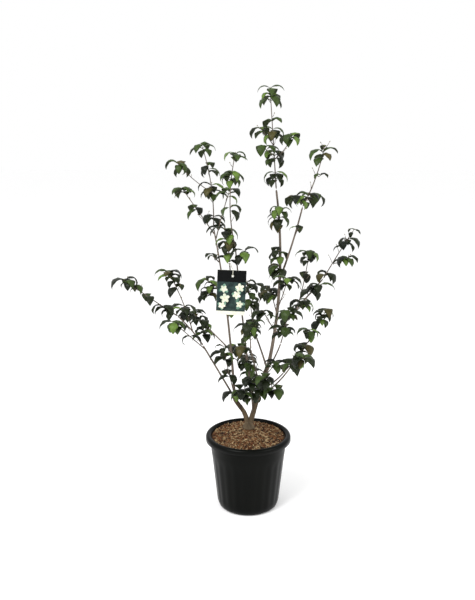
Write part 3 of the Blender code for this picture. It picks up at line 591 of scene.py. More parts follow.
def bark_tube(path, radii, columns, depth, seed, grain):
    """A limb's surface, closed at both ends.

    At angle a and length s it is centre(s) + radius(s) (cos a, sin a) across the limb, and the
    relief at that point moves it out or in by its depth.
    """
    across = around_path(*frames_along(path), columns)
    points = path[:, None] + radii[:, None, None] * across
    rough = relief(points.reshape(-1, 3), seed, grain).reshape(*points.shape[:2], 1)
    points = points + depth * rough * across
    points[0] = path[0]
    points[-1] = path[-1]
    return points.reshape(-1, 3), ring_faces(len(path), columns)


def loop_tube(knots, radius, columns):
    """A closed tube of even radius along a closed Catmull-Rom curve through the points."""
    at = np.arange(0, len(knots), TIE_STEP)
    cell = at.astype(int)
    line = catmull_rom(*(knots[(cell + k) % len(knots)] for k in (-1, 0, 1, 2)), (at % 1)[:, None])
    heading = np.roll(line, -1, 0) - np.roll(line, 1, 0)
    heading /= np.linalg.norm(heading, axis=1, keepdims=True)
    side = np.cross(heading, LOOP_SIDE)
    side /= np.linalg.norm(side, axis=1, keepdims=True)
    points = line[:, None] + radius * around_path(side, np.cross(heading, side), columns)
    faces = ring_faces(len(line) + 1, columns) % (len(line) * columns)
    return points.reshape(-1, 3), faces


def outward_and_down(foot, tip):
    """The direction square to the line from foot to tip that points away from the axis and down."""
    along = (tip - foot).normalized()
    middle = (foot + tip) / 2
    side = Vector((middle.x, middle.y, 0.0))
    side = side.normalized() if side.length > 1e-6 else Vector((1.0, 0.0, 0.0))
    side.z = -1.0
    return (side - side.dot(along) * along).normalized()


def bowed_path(foot, tip, bow, spacing):
    """Points along a parabola from foot to tip, whose middle swings out by the bow."""
    handle = (foot + tip) / 2 + 2 * bow * outward_and_down(foot, tip)
    count = max(3, math.ceil((tip - foot).length / spacing) + 1)
    path = []
    for i in range(count):
        t = i / (count - 1)
        path.append((1 - t) ** 2 * foot + 2 * t * (1 - t) * handle + t**2 * tip)
    return path


def lengths_along(path):
    """How far along the path each of its points lies."""
    total = [0.0]
    for a, b in zip(path, path[1:]):
        total.append(total[-1] + (b - a).length)
    return total


def point_along(path, share):
    """The point that lies this share of the path's length from its foot."""
    total = lengths_along(path)
    wanted = share * total[-1]
    for i in range(len(path) - 1):
        if wanted <= total[i + 1] or i == len(path) - 2:
            t = (wanted - total[i]) / (total[i + 1] - total[i])
            return path[i].lerp(path[i + 1], t)


def limb_paths():
    """The path and end radii of every leg and limb, by name."""
    paths = {
        "left_leg": ([Vector(p) for p in LEFT_LEG], LEFT_LEG_RADII),
        "right_leg": ([Vector(p) for p in RIGHT_LEG], RIGHT_LEG_RADII),
    }
    for name, carrier, share, tip, bow, first, last in LIMBS:
        foot = point_along(paths[carrier][0], share)
        paths[name] = (bowed_path(foot, Vector(tip), bow, LIMB_SPACING), (first, last))
    return paths


def mass_lines(row, paths):
    """The stem and the side twigs of a mass, as paths."""
    _, carrier, share, tip, bow, _, twigs = row
    stem = bowed_path(point_along(paths[carrier][0], share), Vector(tip), bow, STEM_SPACING)
    lines = [stem]
    for start, end, _ in twigs:
        lines.append(bowed_path(point_along(stem, start), Vector(end), TWIG_BOW, STEM_SPACING))
    return lines


def bare_twigs(lines, rng):
    """Short bare twigs that part, alone or in opposite pairs, from between the leaves, as paths."""
    made = []
    for line in lines:
        first, last = BARE_SHARES
        for share in np.arange(first, last, BARE_SPACING / lengths_along(line)[-1]):
            foot = point_along(line, share)
            ahead = (line[-1] - line[0]).normalized()
            turn = rng.uniform(0, 2 * math.pi)
            for side in range(rng.choice(BARE_COUNTS)):
                around = turn + math.pi * side
                out = Vector((math.cos(around), math.sin(around), rng.uniform(*BARE_RISE)))
                tip = foot + rng.uniform(*BARE_LENGTHS) * (out + BARE_LEAN * ahead).normalized()
                made.append(bowed_path(foot, tip, BARE_BOW, BARE_LENGTHS[1]))
    return made


def tube_radii(path, radii, collar):
    """Radii that taper evenly, swell by the collar at the foot and narrow at the last step."""
    share = np.linspace(0, 1, len(path))
    size = np.interp(share, np.linspace(0, 1, len(radii)), radii)
    step = np.linalg.norm(path[1] - path[0])
    size = size * (1 + collar * np.exp(-share * len(path) * step / COLLAR_LENGTH))
    size[-2] *= TIP_NARROWING
    return size


def bud(tip, heading):
    """A pointed bud on a tip: a spindle whose radius is the sine of a power of its length's share."""
    heading = heading / np.linalg.norm(heading)
    shares = np.linspace(0, 1, BUD_STATIONS)
    path = tip + (shares[:, None] * BUD_LENGTH - BUD_DEPTH) * heading
    radii = BUD_RADIUS * np.sin(math.pi * np.clip(shares, BUD_START, 1.0) ** BUD_POWER)
    return bark_tube(path, np.maximum(radii, BUD_TIP_RADIUS), BUD_AROUND, 0.0, 0, STEM_GRAIN)


def leaf_path(foot, leaf, shares):
    """Midrib points and upward normals: an arc that starts at the lift and bends down evenly by the curl."""
    heading, length, lift, curl = leaf
    turned_to = lift - curl * shares
    out = length / curl * (math.sin(lift) - np.sin(turned_to))
    up = length / curl * (np.cos(turned_to) - math.cos(lift))
    ahead = np.array([math.cos(heading), math.sin(heading), 0.0])
    middle = np.array(tuple(foot)) + out[:, None] * ahead + up[:, None] * [0.0, 0.0, 1.0]
    normal = -np.sin(turned_to)[:, None] * ahead + np.cos(turned_to)[:, None] * [0.0, 0.0, 1.0]
    return middle, normal


def rough_leaf(foot, leaf, extra):
    """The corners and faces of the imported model's leaf: a foot, two ridged sections and a tip."""
    heading, length, *_ = leaf
    left = np.array([-math.sin(heading), math.cos(heading), 0.0])
    shares = np.array([share for share, _ in LEAF_SECTIONS])
    middle, normal = leaf_path(foot, leaf, shares)
    tip = leaf_path(foot, leaf, np.array([1.0]))[0][0]
    corners = [tuple(foot)]
    for (_, breadth), ridge, up in zip(LEAF_SECTIONS, middle, normal):
        half = LEAF_WIDTH / 2 * breadth * length / LEAF_LENGTH + extra
        low = ridge - (LEAF_RIDGE * breadth + extra) * up
        corners += [tuple(ridge + extra * up), tuple(low + half * left), tuple(low - half * left)]
    corners.append(tuple(tip))
    faces = []
    for i in range(3):
        j = (i + 1) % 3
        faces += [(0, 1 + i, 1 + j), (1 + i, 4 + i, 4 + j), (1 + i, 4 + j, 1 + j), (4 + i, 7, 4 + j)]
    return corners, faces


def rosette(line, share, count, rng):
    """The leaves of a shoot's node: crossed pairs down the shoot, the lower ones smaller and steeper."""
    length = lengths_along(line)[-1]
    pairs = math.ceil(count / 2)
    top = min(share * length + PAIR_SPACING * (pairs - 1) / 2, length - ROOT_DEPTH)
    heading = rng.uniform(0, math.pi)
    leaves = []
    for k in range(count):
        pair = k // 2
        foot = point_along(line, (top - PAIR_SPACING * pair) / length)
        turn = heading + math.pi * (k % 2) + math.pi / 2 * pair + PAIR_TURN * (pair // 2)
        turn += rng.uniform(-LEAF_SWAY, LEAF_SWAY)
        leaf_length = LEAF_LENGTH * rng.uniform(*ROSETTE_SIZES) * (1 - PAIR_SHRINK * pair)
        if share == 1 and count <= YOUNG_COUNT:
            leaf_length *= YOUNG_SIZE
        lift = math.radians(rng.uniform(*LIFTS)) + PAIR_LIFT * pair
        curl = math.radians(rng.uniform(*CURLS))
        leaves.append((foot, (turn, leaf_length, lift, curl)))
    return leaves


def leaf_kind(share, height, rng):
    """Which colour a leaf has: young greens towards the tips and the top, and dark ones elsewhere."""
    young = YOUNG_SHARE + YOUNG_PER_METRE * max(0.0, height - HIGH_CROWN)
    young += YOUNG_AT_TIP if share > TIP_SHARE else 0.0
    draw = rng.random() - BRONZE_SHARE
    if draw < 0:
        return "bronze"
    if draw < young * LIGHT_OF_YOUNG:
        return "light"
    if draw < young * MID_OF_YOUNG:
        return "mid"
    return "deep" if rng.random() < DEEP_SHARE else "dark"


def tree_of(node):
    """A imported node's mesh, ready to be tested for overlaps."""
    mesh = node.data
    return BVHTree.FromPolygons([v.co for v in mesh.vertices], [tuple(p.vertices) for p in mesh.polygons])


def grow(paths):
    """Every leaf as (foot, shape, kind, chance), none of them through a limb, the label or another leaf.

    A leaf that would touch one turns about its foot in steps, and is left out where no turn is free.
    """
    solids = [tree_of(node) for name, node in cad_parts.items() if not name.endswith("_foliage")]
    grown, blades = [], []
    for seed, row in enumerate(MASSES):
        rng = random.Random(seed)
        lines = mass_lines(row, paths)
        nodes = [(lines[0], share, count) for share, count in row[5]]
        nodes += [(line, 1.0, twig[2]) for line, twig in zip(lines[1:], row[6])]
        near = [np.array([tuple(p) for p in line]) for line in lines]
        for line, share, count in nodes:
            extra = EXTRA_HIGH_LEAVES if line[-1].z > HIGH_CROWN else EXTRA_LEAVES
            count += extra if count > YOUNG_COUNT else 0
            for foot, (heading, *shape) in rosette(line, share, count, rng):
                for turn in range(LEAF_TRIES):
                    leaf = (heading + LEAF_TURN * turn, *shape)
                    blade = free_blade(foot, leaf, near, solids, blades)
                    if blade:
                        blades.append(blade)
                        grown.append((foot, leaf, leaf_kind(share, foot.z, rng), rng.random()))
                        break
    return grown


def free_blade(foot, leaf, near, solids, blades):
    """The leaf's middle and blade if it keeps near its mass's lines and clear of all others, or None."""
    corners, faces = rough_leaf(foot, leaf, LEAF_CLEARANCE)
    reach = [min(np.linalg.norm(line - corner, axis=1).min() for line in near) for corner in corners]
    whole = BVHTree.FromPolygons(corners, faces)
    if max(reach) > MASS_REACH or any(whole.overlap(solid) for solid in solids):
        return None
    corners[0] = tuple(np.array(corners[0]) + BLADE_START * (np.array(corners[1]) - corners[0]))
    blade = BVHTree.FromPolygons(corners, faces)
    middle = Vector(corners[1])
    close = (other for centre, other in blades if (centre - middle).length < 2 * LEAF_LENGTH)
    return None if any(blade.overlap(other) for other in close) else (middle, blade)


def leaf_surface(foot, leaf, chance, wave):
    """A leaf as a closed thin blade on a short stalk, with its chart of (across, along).

    At share t of the blade the half width is a t^0.6 (1 - t), the midrib follows the arc, each half
    droops in proportion to its width, and the edge waves up and down along it.
    """
    heading, length, *_ = leaf
    shares = np.linspace(0, 1, ALONG_LEAF) ** STATION_POWER
    middle, normal = leaf_path(foot, leaf, shares)
    left = np.array([-math.sin(heading), math.cos(heading), 0.0])
    blade = np.clip((shares - STALK_SHARE) / (1 - STALK_SHARE), 0, 1)
    widest = BLADE_POWER / (1 + BLADE_POWER)
    shape = blade**BLADE_POWER * (1 - blade) / (widest**BLADE_POWER * (1 - widest))
    half = LEAF_WIDTH / 2 * length / LEAF_LENGTH * shape
    half = np.maximum(half, STALK_RADIUS * (1 - STALK_TAPER * shares))
    across = np.array([1.0, 0.5, 0.0, -0.5, -1.0, -0.5, 0.0, 0.5])
    below = np.array([0, 0, 0, 0, 0, 1, 1, 1])
    droop = (FOLD_LEAST + FOLD_SPREAD * chance) * np.abs(across) * half[:, None]
    turn = WAVE_TURN * blade[:, None] + 2 * math.pi * chance + across
    ripple = wave * np.sin(turn) * across**2 * shape[:, None]
    thickness = np.where(blade < STALK_END, STALK_THICKNESS, BLADE_THICKNESS)
    rise = ripple - droop - below * thickness[:, None]
    sideways = half[:, None, None] * across[:, None] * left
    points = middle[:, None] + sideways + rise[..., None] * normal[:, None]
    charts = np.stack(np.broadcast_arrays(across, blade[:, None]), -1)
    return points.reshape(-1, 3), ring_faces(ALONG_LEAF, ROUND_LEAF), charts.reshape(-1, 2)


def arc(centre, radius_x, radius_y, start, end, count):
    """Points round an ellipse from one angle to another, in degrees."""
    angle = np.radians(np.linspace(start, end, count))
    return np.stack([centre[0] + radius_x * np.cos(angle), centre[1] + radius_y * np.sin(angle)], 1)


def pot_profile():
    """The pot's section from the middle of the floor inside, over the rolled rim and down to the foot."""
    crest = ((NECK_INSIDE_RADIUS + RIM_RADIUS) / 2, RIM_BEND_HEIGHT)
    half = (RIM_RADIUS - NECK_INSIDE_RADIUS) / 2
    over = arc(crest, half, RIM_RISE, 180, 0, CREST_POINTS)
    under = arc(crest, half - POT_WALL, RIM_RISE - POT_WALL, 0, 180, UNDER_RIM_POINTS)
    heights, radii = np.array(WALL_RADII).T
    smooth = np.linspace(heights[0], heights[-1], WALL_RINGS)
    outside = np.stack([np.interp(smooth, heights, radii), smooth], 1)
    inside = (outside - [POT_WALL, 0.0])[smooth > POT_FLOOR]
    lip = [(RIM_RADIUS, RIM_LIP_HEIGHT), (RIM_RADIUS - POT_WALL, RIM_LIP_HEIGHT)]
    foot = [(FOOT_FLAT_RADIUS, 0.0), (FOOT_FLAT_RADIUS / 2, 0.0)]
    start = [(INNER_FLOOR_RADIUS, POT_FLOOR)]
    return np.concatenate([start, inside, over, lip, under, outside[::-1], foot])


def pot_surface(flutes, depth):
    """The profile turned about the axis, less a raised cosine of the angle where the wall is fluted."""
    profile = pot_profile()
    angle = np.linspace(0, 2 * math.pi, POT_AROUND, endpoint=False)
    height = profile[:, 1][:, None]
    band = np.clip((height - FLUTES_START) / FLUTES_FADE_IN, 0, 1)
    band = band * np.clip((FLUTES_END - height) / FLUTES_FADE_OUT, 0, 1)
    radius = profile[:, 0][:, None] - depth * band * (0.5 + 0.5 * np.cos(flutes * angle))
    height = np.broadcast_to(height, radius.shape)
    points = np.stack([radius * np.cos(angle), radius * np.sin(angle), height], -1)
    return points.reshape(-1, 3), ring_faces(len(profile), POT_AROUND)[:, ::-1]


def close_rings(piece, count):
    """Closes the first and the last ring of a turned mesh, each with one flat face."""
    work = bmesh.new()
    work.from_mesh(piece.data)
    work.verts.ensure_lookup_table()
    total = len(work.verts)
    work.faces.new([work.verts[i] for i in range(count)])
    work.faces.new([work.verts[i] for i in reversed(range(total - count, total))])
    work.to_mesh(piece.data)
    work.free()


def mulch_height(radius):
    """The chips' level at a radius: flat where the trunk stands, then falling to the pot's wall."""
    shoulder = (MULCH_MOUND_RADIUS + MULCH_EDGE_RADIUS) / 2
    middle = (GROUND + MULCH_EDGE_TOP) / 2 - SHOULDER_SAG + SHOULDER_CHIPS
    heights = [GROUND, middle, MULCH_EDGE_TOP + EDGE_CHIPS]
    return np.interp(radius, [MULCH_MOUND_RADIUS, shoulder, MULCH_EDGE_RADIUS], heights)


def bed_surface():
    """The bed at radius r and angle a: the chips' level at r, less the bed's depth, plus a relief."""
    rings = np.linspace(0, MULCH_EDGE_RADIUS, BED_RINGS)
    spokes = np.linspace(0, 2 * math.pi, BED_SPOKES, endpoint=False)
    radius, turn = np.meshgrid(rings, spokes, indexing="ij")
    points = np.stack([radius * np.cos(turn), radius * np.sin(turn), mulch_height(radius) - BED_DEPTH], -1)
    points = points.reshape(-1, 3)
    points[:, 2] += BED_RELIEF * relief(points * [1.0, 1.0, 0.0], BED_SEED, BED_GRAIN)
    return points, ring_faces(BED_RINGS, BED_SPOKES)[:, ::-1]


def turned(points, angle, first, second):
    """Each item's points turned by its angle in the plane of two axes."""
    made = points.copy()
    cos, sin = np.cos(angle)[:, None, None], np.sin(angle)[:, None, None]
    made[..., first] = cos * points[..., first] - sin * points[..., second]
    made[..., second] = sin * points[..., first] + cos * points[..., second]
    return made


def bark_chips(count, rng):
    """Flat shreds of bark, each a bent and tapered slab of four sections, strewn over the mulch."""
    radius = (MULCH_EDGE_RADIUS - CHIP_MARGIN) * np.sqrt(rng.random(count))
    turn = rng.uniform(0, 2 * math.pi, count)
    length, width, thickness = (
        rng.uniform(*sizes, count)[:, None, None] for sizes in (CHIP_LENGTHS, CHIP_WIDTHS, CHIP_THICKNESSES)
    )
    sections = np.linspace(-0.5, 0.5, len(CHIP_TAPER))
    square = np.array([(-0.5, -0.5), (0.5, -0.5), (0.5, 0.5), (-0.5, 0.5)])
    bend = rng.uniform(-CHIP_BEND, CHIP_BEND, count)[:, None, None]
    along = sections[None, :, None] * length * np.ones(4)
    across = square[:, 0] * np.array(CHIP_TAPER)[:, None] * width
    up = square[:, 1] * thickness + bend * length * sections[:, None] ** 2
    slabs = np.stack(np.broadcast_arrays(along, across, up), -1)
    slabs = slabs * rng.uniform(1 - CHIP_ROUGHNESS, 1 + CHIP_ROUGHNESS, slabs.shape[:3] + (1,))
    spin = rng.uniform(0, 2 * math.pi, count)
    tilt, roll = rng.normal(0, CHIP_TILT, count), rng.normal(0, CHIP_ROLL, count)
    slabs = turned(turned(turned(slabs, roll, 1, 2), tilt, 2, 0), spin, 0, 1)
    height = mulch_height(radius) + rng.uniform(*CHIP_HEIGHTS, count)
    slabs = slabs + np.stack([radius * np.cos(turn), radius * np.sin(turn), height], -1)[:, None, None]
    faces = np.concatenate([ring_faces(4, 4), [(3, 2, 1, 0), (12, 13, 14, 15)]])
    return slabs.reshape(-1, 3), (faces + 16 * np.arange(count)[:, None, None]).reshape(-1, 4)


def on_card(x, up, out=0.0):
    """Points from the card's centre line, its top edge and its mid plane, as an array."""
    x, up, out = np.broadcast_arrays(np.asarray(x, float), up, out)
    drop = CARD_SIZE[2] / 2 + up
    cos, sin = math.cos(CARD_TURN), math.sin(CARD_TURN)
    place = (x * cos + drop * sin, -out, drop * cos - x * sin)
    return np.stack([centre + offset for centre, offset in zip(CARD_CENTRE, place)], -1)


def add_patch(name, low, high, left, right, material):
    """A thin printed panel on the card's face, as a closed box."""
    x = np.array([left, right, right, left])
    up = np.array([low, low, high, high])
    front = on_card(x, up, CARD_SIZE[1] / 2 + PRINT_OUT)
    back = on_card(x, up, CARD_SIZE[1] / 2 - PRINT_BACK)
    faces = np.array([(0, 1, 2, 3), (7, 6, 5, 4), (0, 4, 5, 1), (1, 5, 6, 2), (2, 6, 7, 3), (3, 7, 4, 0)])
    add_piece(name, (np.concatenate([front, back]), faces), [material], False)


def petals(centres, sizes, turns, count, reach, layer):
    """Rings of low ovals about each centre on the card: each a fan from its raised middle to its rim."""
    around = np.linspace(0, 2 * math.pi, PETAL_POINTS, endpoint=False)
    out = CARD_SIZE[1] / 2 + PETAL_OUT + layer * PETAL_STEP
    index = np.arange(PETAL_POINTS)
    faces = np.stack([index, (index + 1) % PETAL_POINTS, np.full(PETAL_POINTS, PETAL_POINTS)], -1)
    ovals = []
    for (x, up), size, first in zip(centres, sizes, turns):
        for k in range(count):
            angle = first + 2 * math.pi * k / count
            cos, sin = math.cos(angle), math.sin(angle)
            along = reach * size * (1 + np.cos(around))
            across = reach * size * PETAL_SLIMNESS * np.sin(around)
            rim = on_card(x + along * cos - across * sin, up + along * sin + across * cos, out - PETAL_SINK)
            middle = on_card(x + reach * size * cos, up + reach * size * sin, out)
            ovals.append((np.concatenate([rim, [middle]]), faces))
    return join(ovals)


def blossom_spots(low, high, half):
    """Centres of the printed blossoms: two to a row, swaying from row to row, clear of the edges."""
    spots = []
    for row in range(SPOT_ROWS):
        for side in (-1, 1):
            x = side * half / 2 + SPOT_SWAY * math.sin(ROW_SWAY * row + SIDE_SWAY * side)
            up = low + SPOT_EDGE + row * (high - low - 2 * SPOT_EDGE) / (SPOT_ROWS - 1)
            up += side * (MIDDLE_RISE if row == 1 else SPOT_RISE)
            spots.append((x, up))
    margin = SPOT_MARGIN
    return np.clip(np.array(spots), [-half + margin, low + margin], [half - margin, high - margin])


def tie_line():
    """The tie's route: round the middle stem, over the card's edge and through its hole."""
    line, radii = limb_paths()["middle_stem"]
    stem = np.array(tuple(point_along(line, TIE_AT)))
    round_stem = radii[-1] + TIE_CLEARANCE + TIE_RADIUS
    hole, edge = on_card(CARD_HOLE_X, -CARD_HOLE_DROP), on_card(CARD_HOLE_X, 0.0)
    clear = CARD_SIZE[1] / 2 + TIE_RADIUS + 2 * GAP
    behind, ahead = (
        [stem + round_stem * np.array([math.cos(a), math.sin(a), 0.0]) for a in np.radians(angles)]
        for angles in ((90, 150, 205), (-25, 30))
    )
    down = [(-0.0025, 0.010, 0.005), (-0.0010, 0.0, clear + 0.0006), (0.0, -clear - 0.0008, -0.004)]
    through = [(0.0, -clear - 0.0008, 0.003), (0.0, 0.0, -0.0006), (0.0, clear + 0.0008, 0.003)]
    back = edge + (0.0015, clear + 0.0030, -0.004)
    return np.array([*behind, *(edge + p for p in down), *(hole + p for p in through), back, *ahead])


def add_light(name, place, power):
    """A square soft light that faces the middle of the plant."""
    light = bpy.data.lights.new(name, "AREA")
    light.size = LIGHT_SIZE
    light.energy = power
    made = bpy.data.objects.new(name, light)
    made.location = place
    made.rotation_euler = (Vector(LIGHT_AIM) - Vector(place)).to_track_quat("-Z", "Y").to_euler()
    bpy.context.scene.collection.objects.link(made)


class DOGWOOD_OT_stage(bpy.types.Operator):
    """Set the pale floor, the soft lights and the camera at the photograph's viewing angle."""

    bl_idname = "dogwood.stage"
    bl_label = "Studio"

    def execute(self, context):
        settings = context.scene.dogwood_studio
        mesh = bpy.data.meshes.new("floor")
        half = settings.floor_size / 2
        corners = [(-half, -half, 0), (half, -half, 0), (half, half, 0), (-half, half, 0)]
        mesh.from_pydata(corners, [], [(0, 1, 2, 3)])
        floor = bpy.data.objects.new("floor", mesh)
        pale, _, shader = new_material("pale_floor", Roughness=0.9)
        shader.inputs["Base Color"].default_value = linear(settings.floor)
        mesh.materials.append(pale)
        context.scene.collection.objects.link(floor)
        world = bpy.data.worlds.new("studio")
        world.use_nodes = True
        sky = world.node_tree.nodes["Background"]
        sky.inputs["Color"].default_value = linear("#ffffff")
        sky.inputs["Strength"].default_value = settings.sky
        context.scene.world = world
        add_light("key_light", KEY_PLACE, settings.key_power)
        add_light("fill_light", FILL_PLACE, settings.fill_power)
        camera = bpy.data.cameras.new("camera")
        camera.lens = LENS
        camera.sensor_width = SENSOR
        view = bpy.data.objects.new("camera", camera)
        view.location = CAMERA_PLACE
        view.rotation_euler = (CAMERA_PITCH, 0.0, 0.0)
        context.scene.collection.objects.link(view)
        context.scene.camera = view
        context.scene.view_settings.view_transform = "Standard"
        return {"FINISHED"}


class DOGWOOD_OT_pot(bpy.types.Operator):
    """Turn the pot with its soft flutes, rolled rim and rounded foot, and darken the mix in it."""

    bl_idname = "dogwood.pot"
    bl_label = "Pot"

    def execute(self, context):
        settings = context.scene.dogwood_pot
        surface = pot_surface(settings.flutes, settings.flute_depth)
        plastic = pot_material(settings.dark, settings.light)
        piece = add_piece("pot_shell", surface, [plastic])
        close_rings(piece, POT_AROUND)
        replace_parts(piece, "pot")
        repaint("root_ball", mix_material(settings.mix_dark, settings.mix_light))
        return {"FINISHED"}


class DOGWOOD_OT_mulch(bpy.types.Operator):
    """Lay the bark chips over the uneven mulch."""

    bl_idname = "dogwood.mulch"
    bl_label = "Bark mulch"

    def execute(self, context):
        settings = context.scene.dogwood_mulch
        crumbs = chip_material("crumbled_bark", settings.bed)
        bed = add_piece("mulch_bed", bed_surface(), [crumbs])
        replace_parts(bed, "mulch")
        rng = np.random.default_rng(CHIP_SEED)
        for kind, share in CHIP_KINDS:
            chips = bark_chips(int(settings.chips * share), rng)
            bark = chip_material("bark_chip_" + kind, getattr(settings, kind))
            add_piece("chips_" + kind, chips, [bark], False)
        return {"FINISHED"}


class DOGWOOD_OT_trunk(bpy.types.Operator):
    """Give the root crown and the two legs their cracked bark."""

    bl_idname = "dogwood.trunk"
    bl_label = "Trunk"

    def execute(self, context):
        settings = context.scene.dogwood_bark
        paths = limb_paths()
        crown = [Vector((TRUNK_X, TRUNK_Y, GROUND + height)) for height in CROWN_HEIGHTS]
        tubes = []
        for seed, (line, radii) in enumerate(((crown, CROWN_RADII), paths["left_leg"], paths["right_leg"])):
            path = smooth_path(line, OLD_STEP)
            size = np.interp(np.linspace(0, 1, len(path)), np.linspace(0, 1, len(radii)), radii)
            size[0] = size[1]
            tubes.append(bark_tube(path, size, OLD_AROUND, settings.old_relief, seed, OLD_GRAIN))
        bark = bark_material("old_bark", settings.old_dark, settings.old_light, OLD_CRACK, OLD_STRENGTH)
        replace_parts(add_piece("trunk_bark", join(tubes), [bark]), "trunk")
        return {"FINISHED"}


class DOGWOOD_OT_boughs(bpy.types.Operator):
    """Give every bough its bark and the collar where it parts from what carries it."""

    bl_idname = "dogwood.boughs"
    bl_label = "Boughs"

    def execute(self, context):
        settings = context.scene.dogwood_bark
        paths = limb_paths()
        names = [row[0] for row in LIMBS]
        tubes = []
        for seed, name in enumerate(names):
            line, radii = paths[name]
            path = smooth_path(line, YOUNG_STEP)
            size = tube_radii(path, radii, BOUGH_COLLAR)
            tubes.append(bark_tube(path, size, YOUNG_AROUND, settings.young_relief, seed, YOUNG_GRAIN))
        colours = (settings.young_dark, settings.young_light)
        bark = bark_material("young_bark", *colours, YOUNG_CRACK, YOUNG_STRENGTH)
        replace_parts(add_piece("boughs_bark", join(tubes), [bark]), *names)
        return {"FINISHED"}


class DOGWOOD_OT_twigs(bpy.types.Operator):
    """Draw every mass's stem, side twigs and bare twigs, with a pointed bud on each tip."""

    bl_idname = "dogwood.twigs"
    bl_label = "Twigs and buds"

    def execute(self, context):
        settings = context.scene.dogwood_bark
        paths = limb_paths()
        tubes, buds = [], []
        for seed, row in enumerate(MASSES):
            lines = mass_lines(row, paths)
            for i, line in enumerate(lines):
                path = smooth_path(line, STEM_STEP)
                size = tube_radii(path, TWIG_RADII if i else STEM_RADII, STEM_COLLAR)
                tubes.append(bark_tube(path, size, STEM_AROUND, STEM_RELIEF, seed, STEM_GRAIN))
                buds.append(bud(path[-1], path[-1] - path[-3]))
            for line in bare_twigs(lines, random.Random(BARE_SEED + seed)):
                path = smooth_path(line, BARE_STEP)
                size = np.linspace(*BARE_RADII, len(path))
                tubes.append(bark_tube(path, size, BARE_AROUND, 0.0, seed, STEM_GRAIN))
                buds.append(bud(path[-1], path[-1] - path[-3]))
        colours = (settings.twig_dark, settings.twig_light)
        bark = bark_material("young_twig_bark", *colours, TWIG_CRACK, TWIG_STRENGTH)
        twigs = add_piece("twigs", join(tubes), [bark])
        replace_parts(twigs, *[row[0] + "_foliage" for row in MASSES])
        scales = bark_material("bud_scales", settings.bud_dark, settings.bud_light, BUD_SCALE, BUD_STRENGTH)
        add_piece("buds", join(buds), [scales])
        return {"FINISHED"}


class DOGWOOD_OT_leaves(bpy.types.Operator):
    """Grow every leaf by the plant's own rule and join them by colour."""

    bl_idname = "dogwood.leaves"
    bl_label = "Leaves"

    def execute(self, context):
        settings = context.scene.dogwood_leaves
        grown = grow(limb_paths())
        masses = [row[0] + "_foliage" for row in MASSES]
        under = leaf_material("leaf_underside", settings.under, MATT_UNDERSIDE)
        side = (np.arange(ROUND_LEAF) >= ROUND_LEAF // 2).astype(np.int32)
        for kind in LEAF_KINDS:
            made = [
                leaf_surface(foot, leaf, chance, settings.wave)
                for foot, leaf, its_kind, chance in grown
                if its_kind == kind
            ]
            blades = join([(points, faces) for points, faces, _ in made])
            charts = np.concatenate([chart for _, _, chart in made])
            indices = np.tile(side, (ALONG_LEAF - 1) * len(made))
            upper = leaf_material("leaf_" + kind, getattr(settings, kind), WAXY)
            piece = add_piece("leaves_" + kind, blades, [upper, under], True, indices, charts)
            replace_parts(piece, *masses)
        return {"FINISHED"}


class DOGWOOD_OT_label(bpy.types.Operator):
    """Print the label: a dark header, a generic picture of pale blossom and a pale strip."""

    bl_idname = "dogwood.label"
    bl_label = "Picture label"

    def execute(self, context):
        settings = context.scene.dogwood_label
        repaint("label_card", printed_material("white_card", "#cfd0bd", "#dfe0d0"))
        half = CARD_SIZE[0] / 2 - PRINT_MARGIN
        header_foot, strip_top = -settings.header_height, -CARD_SIZE[2] + settings.strip_height
        low, high = -CARD_HOLE_DROP - PATCH_HOLE, -CARD_HOLE_DROP + PATCH_HOLE
        black = printed_material("black_print", "#020303", "#060808")
        add_patch("label_header_top", high, -PRINT_MARGIN, -half, half, black)
        add_patch("label_header_left", low, high, -half, CARD_HOLE_X - PATCH_HOLE, black)
        add_patch("label_header_right", low, high, CARD_HOLE_X + PATCH_HOLE, half, black)
        add_patch("label_header_foot", header_foot, low, -half, half, black)
        picture = printed_material("picture_ground", "#0c1417", "#31433f", PICTURE_DRIFT)
        add_patch("label_picture", strip_top, header_foot, -half, half, picture)
        rng = np.random.default_rng(PRINT_SEED)
        spots = blossom_spots(strip_top, header_foot, half)
        count = len(spots)
        for name, sizes, each, reach, dark, light in (
            ("leaf", LEAF_SIZES, LEAVES_EACH, LEAF_REACH, "#2c5346", "#7fa08c"),
            ("petal", PETAL_SIZES, PETALS_EACH, PETAL_REACH, "#a9b7a0", "#e6dfce"),
        ):
            ovals = petals(
                spots, rng.uniform(*sizes, count), rng.uniform(0, 6, count), each, reach, int(name == "petal")
            )
            ink = printed_material("print_" + name, dark, light)
            piece = {"leaf": "label_leaves", "petal": "label_blossom"}[name]
            add_piece(piece, ovals, [ink], False)
        hearts = petals(spots, np.full(count, HEART_SIZE), np.zeros(count), HEARTS_EACH, HEART_REACH, 2)
        heart = printed_material("print_heart", "#a8a04e", "#c9c070")
        add_piece("label_hearts", hearts, [heart], False)
        tube = loop_tube(tie_line(), TIE_RADIUS, TIE_AROUND)
        loop = add_piece("tie_loop", tube, [tie_material()])
        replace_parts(loop, "label_tie")
        return {"FINISHED"}


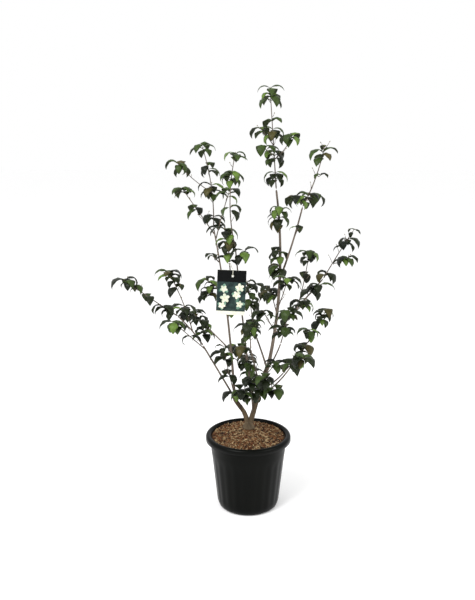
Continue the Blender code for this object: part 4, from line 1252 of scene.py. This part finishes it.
# The steps in their order, each with the group of settings that it reads.
STEPS = (
    (DOGWOOD_OT_stage, "dogwood_studio"),
    (DOGWOOD_OT_pot, "dogwood_pot"),
    (DOGWOOD_OT_mulch, "dogwood_mulch"),
    (DOGWOOD_OT_trunk, "dogwood_bark"),
    (DOGWOOD_OT_boughs, "dogwood_bark"),
    (DOGWOOD_OT_twigs, "dogwood_bark"),
    (DOGWOOD_OT_leaves, "dogwood_leaves"),
    (DOGWOOD_OT_label, "dogwood_label"),
)
SETTINGS = {
    "dogwood_studio": StudioSettings,
    "dogwood_pot": PotSettings,
    "dogwood_mulch": MulchSettings,
    "dogwood_bark": BarkSettings,
    "dogwood_leaves": LeafSettings,
    "dogwood_label": LabelSettings,
}


class DOGWOOD_PT_panel(bpy.types.Panel):
    """Lists the steps that build the plant's looks, and the settings that they read."""

    bl_label = "Dogwood"
    bl_idname = "DOGWOOD_PT_panel"
    bl_space_type = "VIEW_3D"
    bl_region_type = "UI"
    bl_category = "Dogwood"

    def draw(self, context):
        for operator, _ in STEPS:
            self.layout.operator(operator.bl_idname)
        for name, group in SETTINGS.items():
            for setting in group.__annotations__:
                self.layout.prop(getattr(context.scene, name), setting)


def register():
    for name, group in SETTINGS.items():
        bpy.utils.register_class(group)
        setattr(bpy.types.Scene, name, bpy.props.PointerProperty(type=group))
    for operator, _ in STEPS:
        bpy.utils.register_class(operator)
    bpy.utils.register_class(DOGWOOD_PT_panel)


def unregister():
    bpy.utils.unregister_class(DOGWOOD_PT_panel)
    for operator, _ in reversed(STEPS):
        bpy.utils.unregister_class(operator)
    for name, group in SETTINGS.items():
        delattr(bpy.types.Scene, name)
        bpy.utils.unregister_class(group)


def main():
    register()
    bpy.ops.dogwood.stage()
    bpy.ops.dogwood.pot()
    bpy.ops.dogwood.mulch()
    bpy.ops.dogwood.trunk()
    bpy.ops.dogwood.boughs()
    bpy.ops.dogwood.twigs()
    bpy.ops.dogwood.leaves()
    bpy.ops.dogwood.label()


if __name__ == "__main__":
    main()
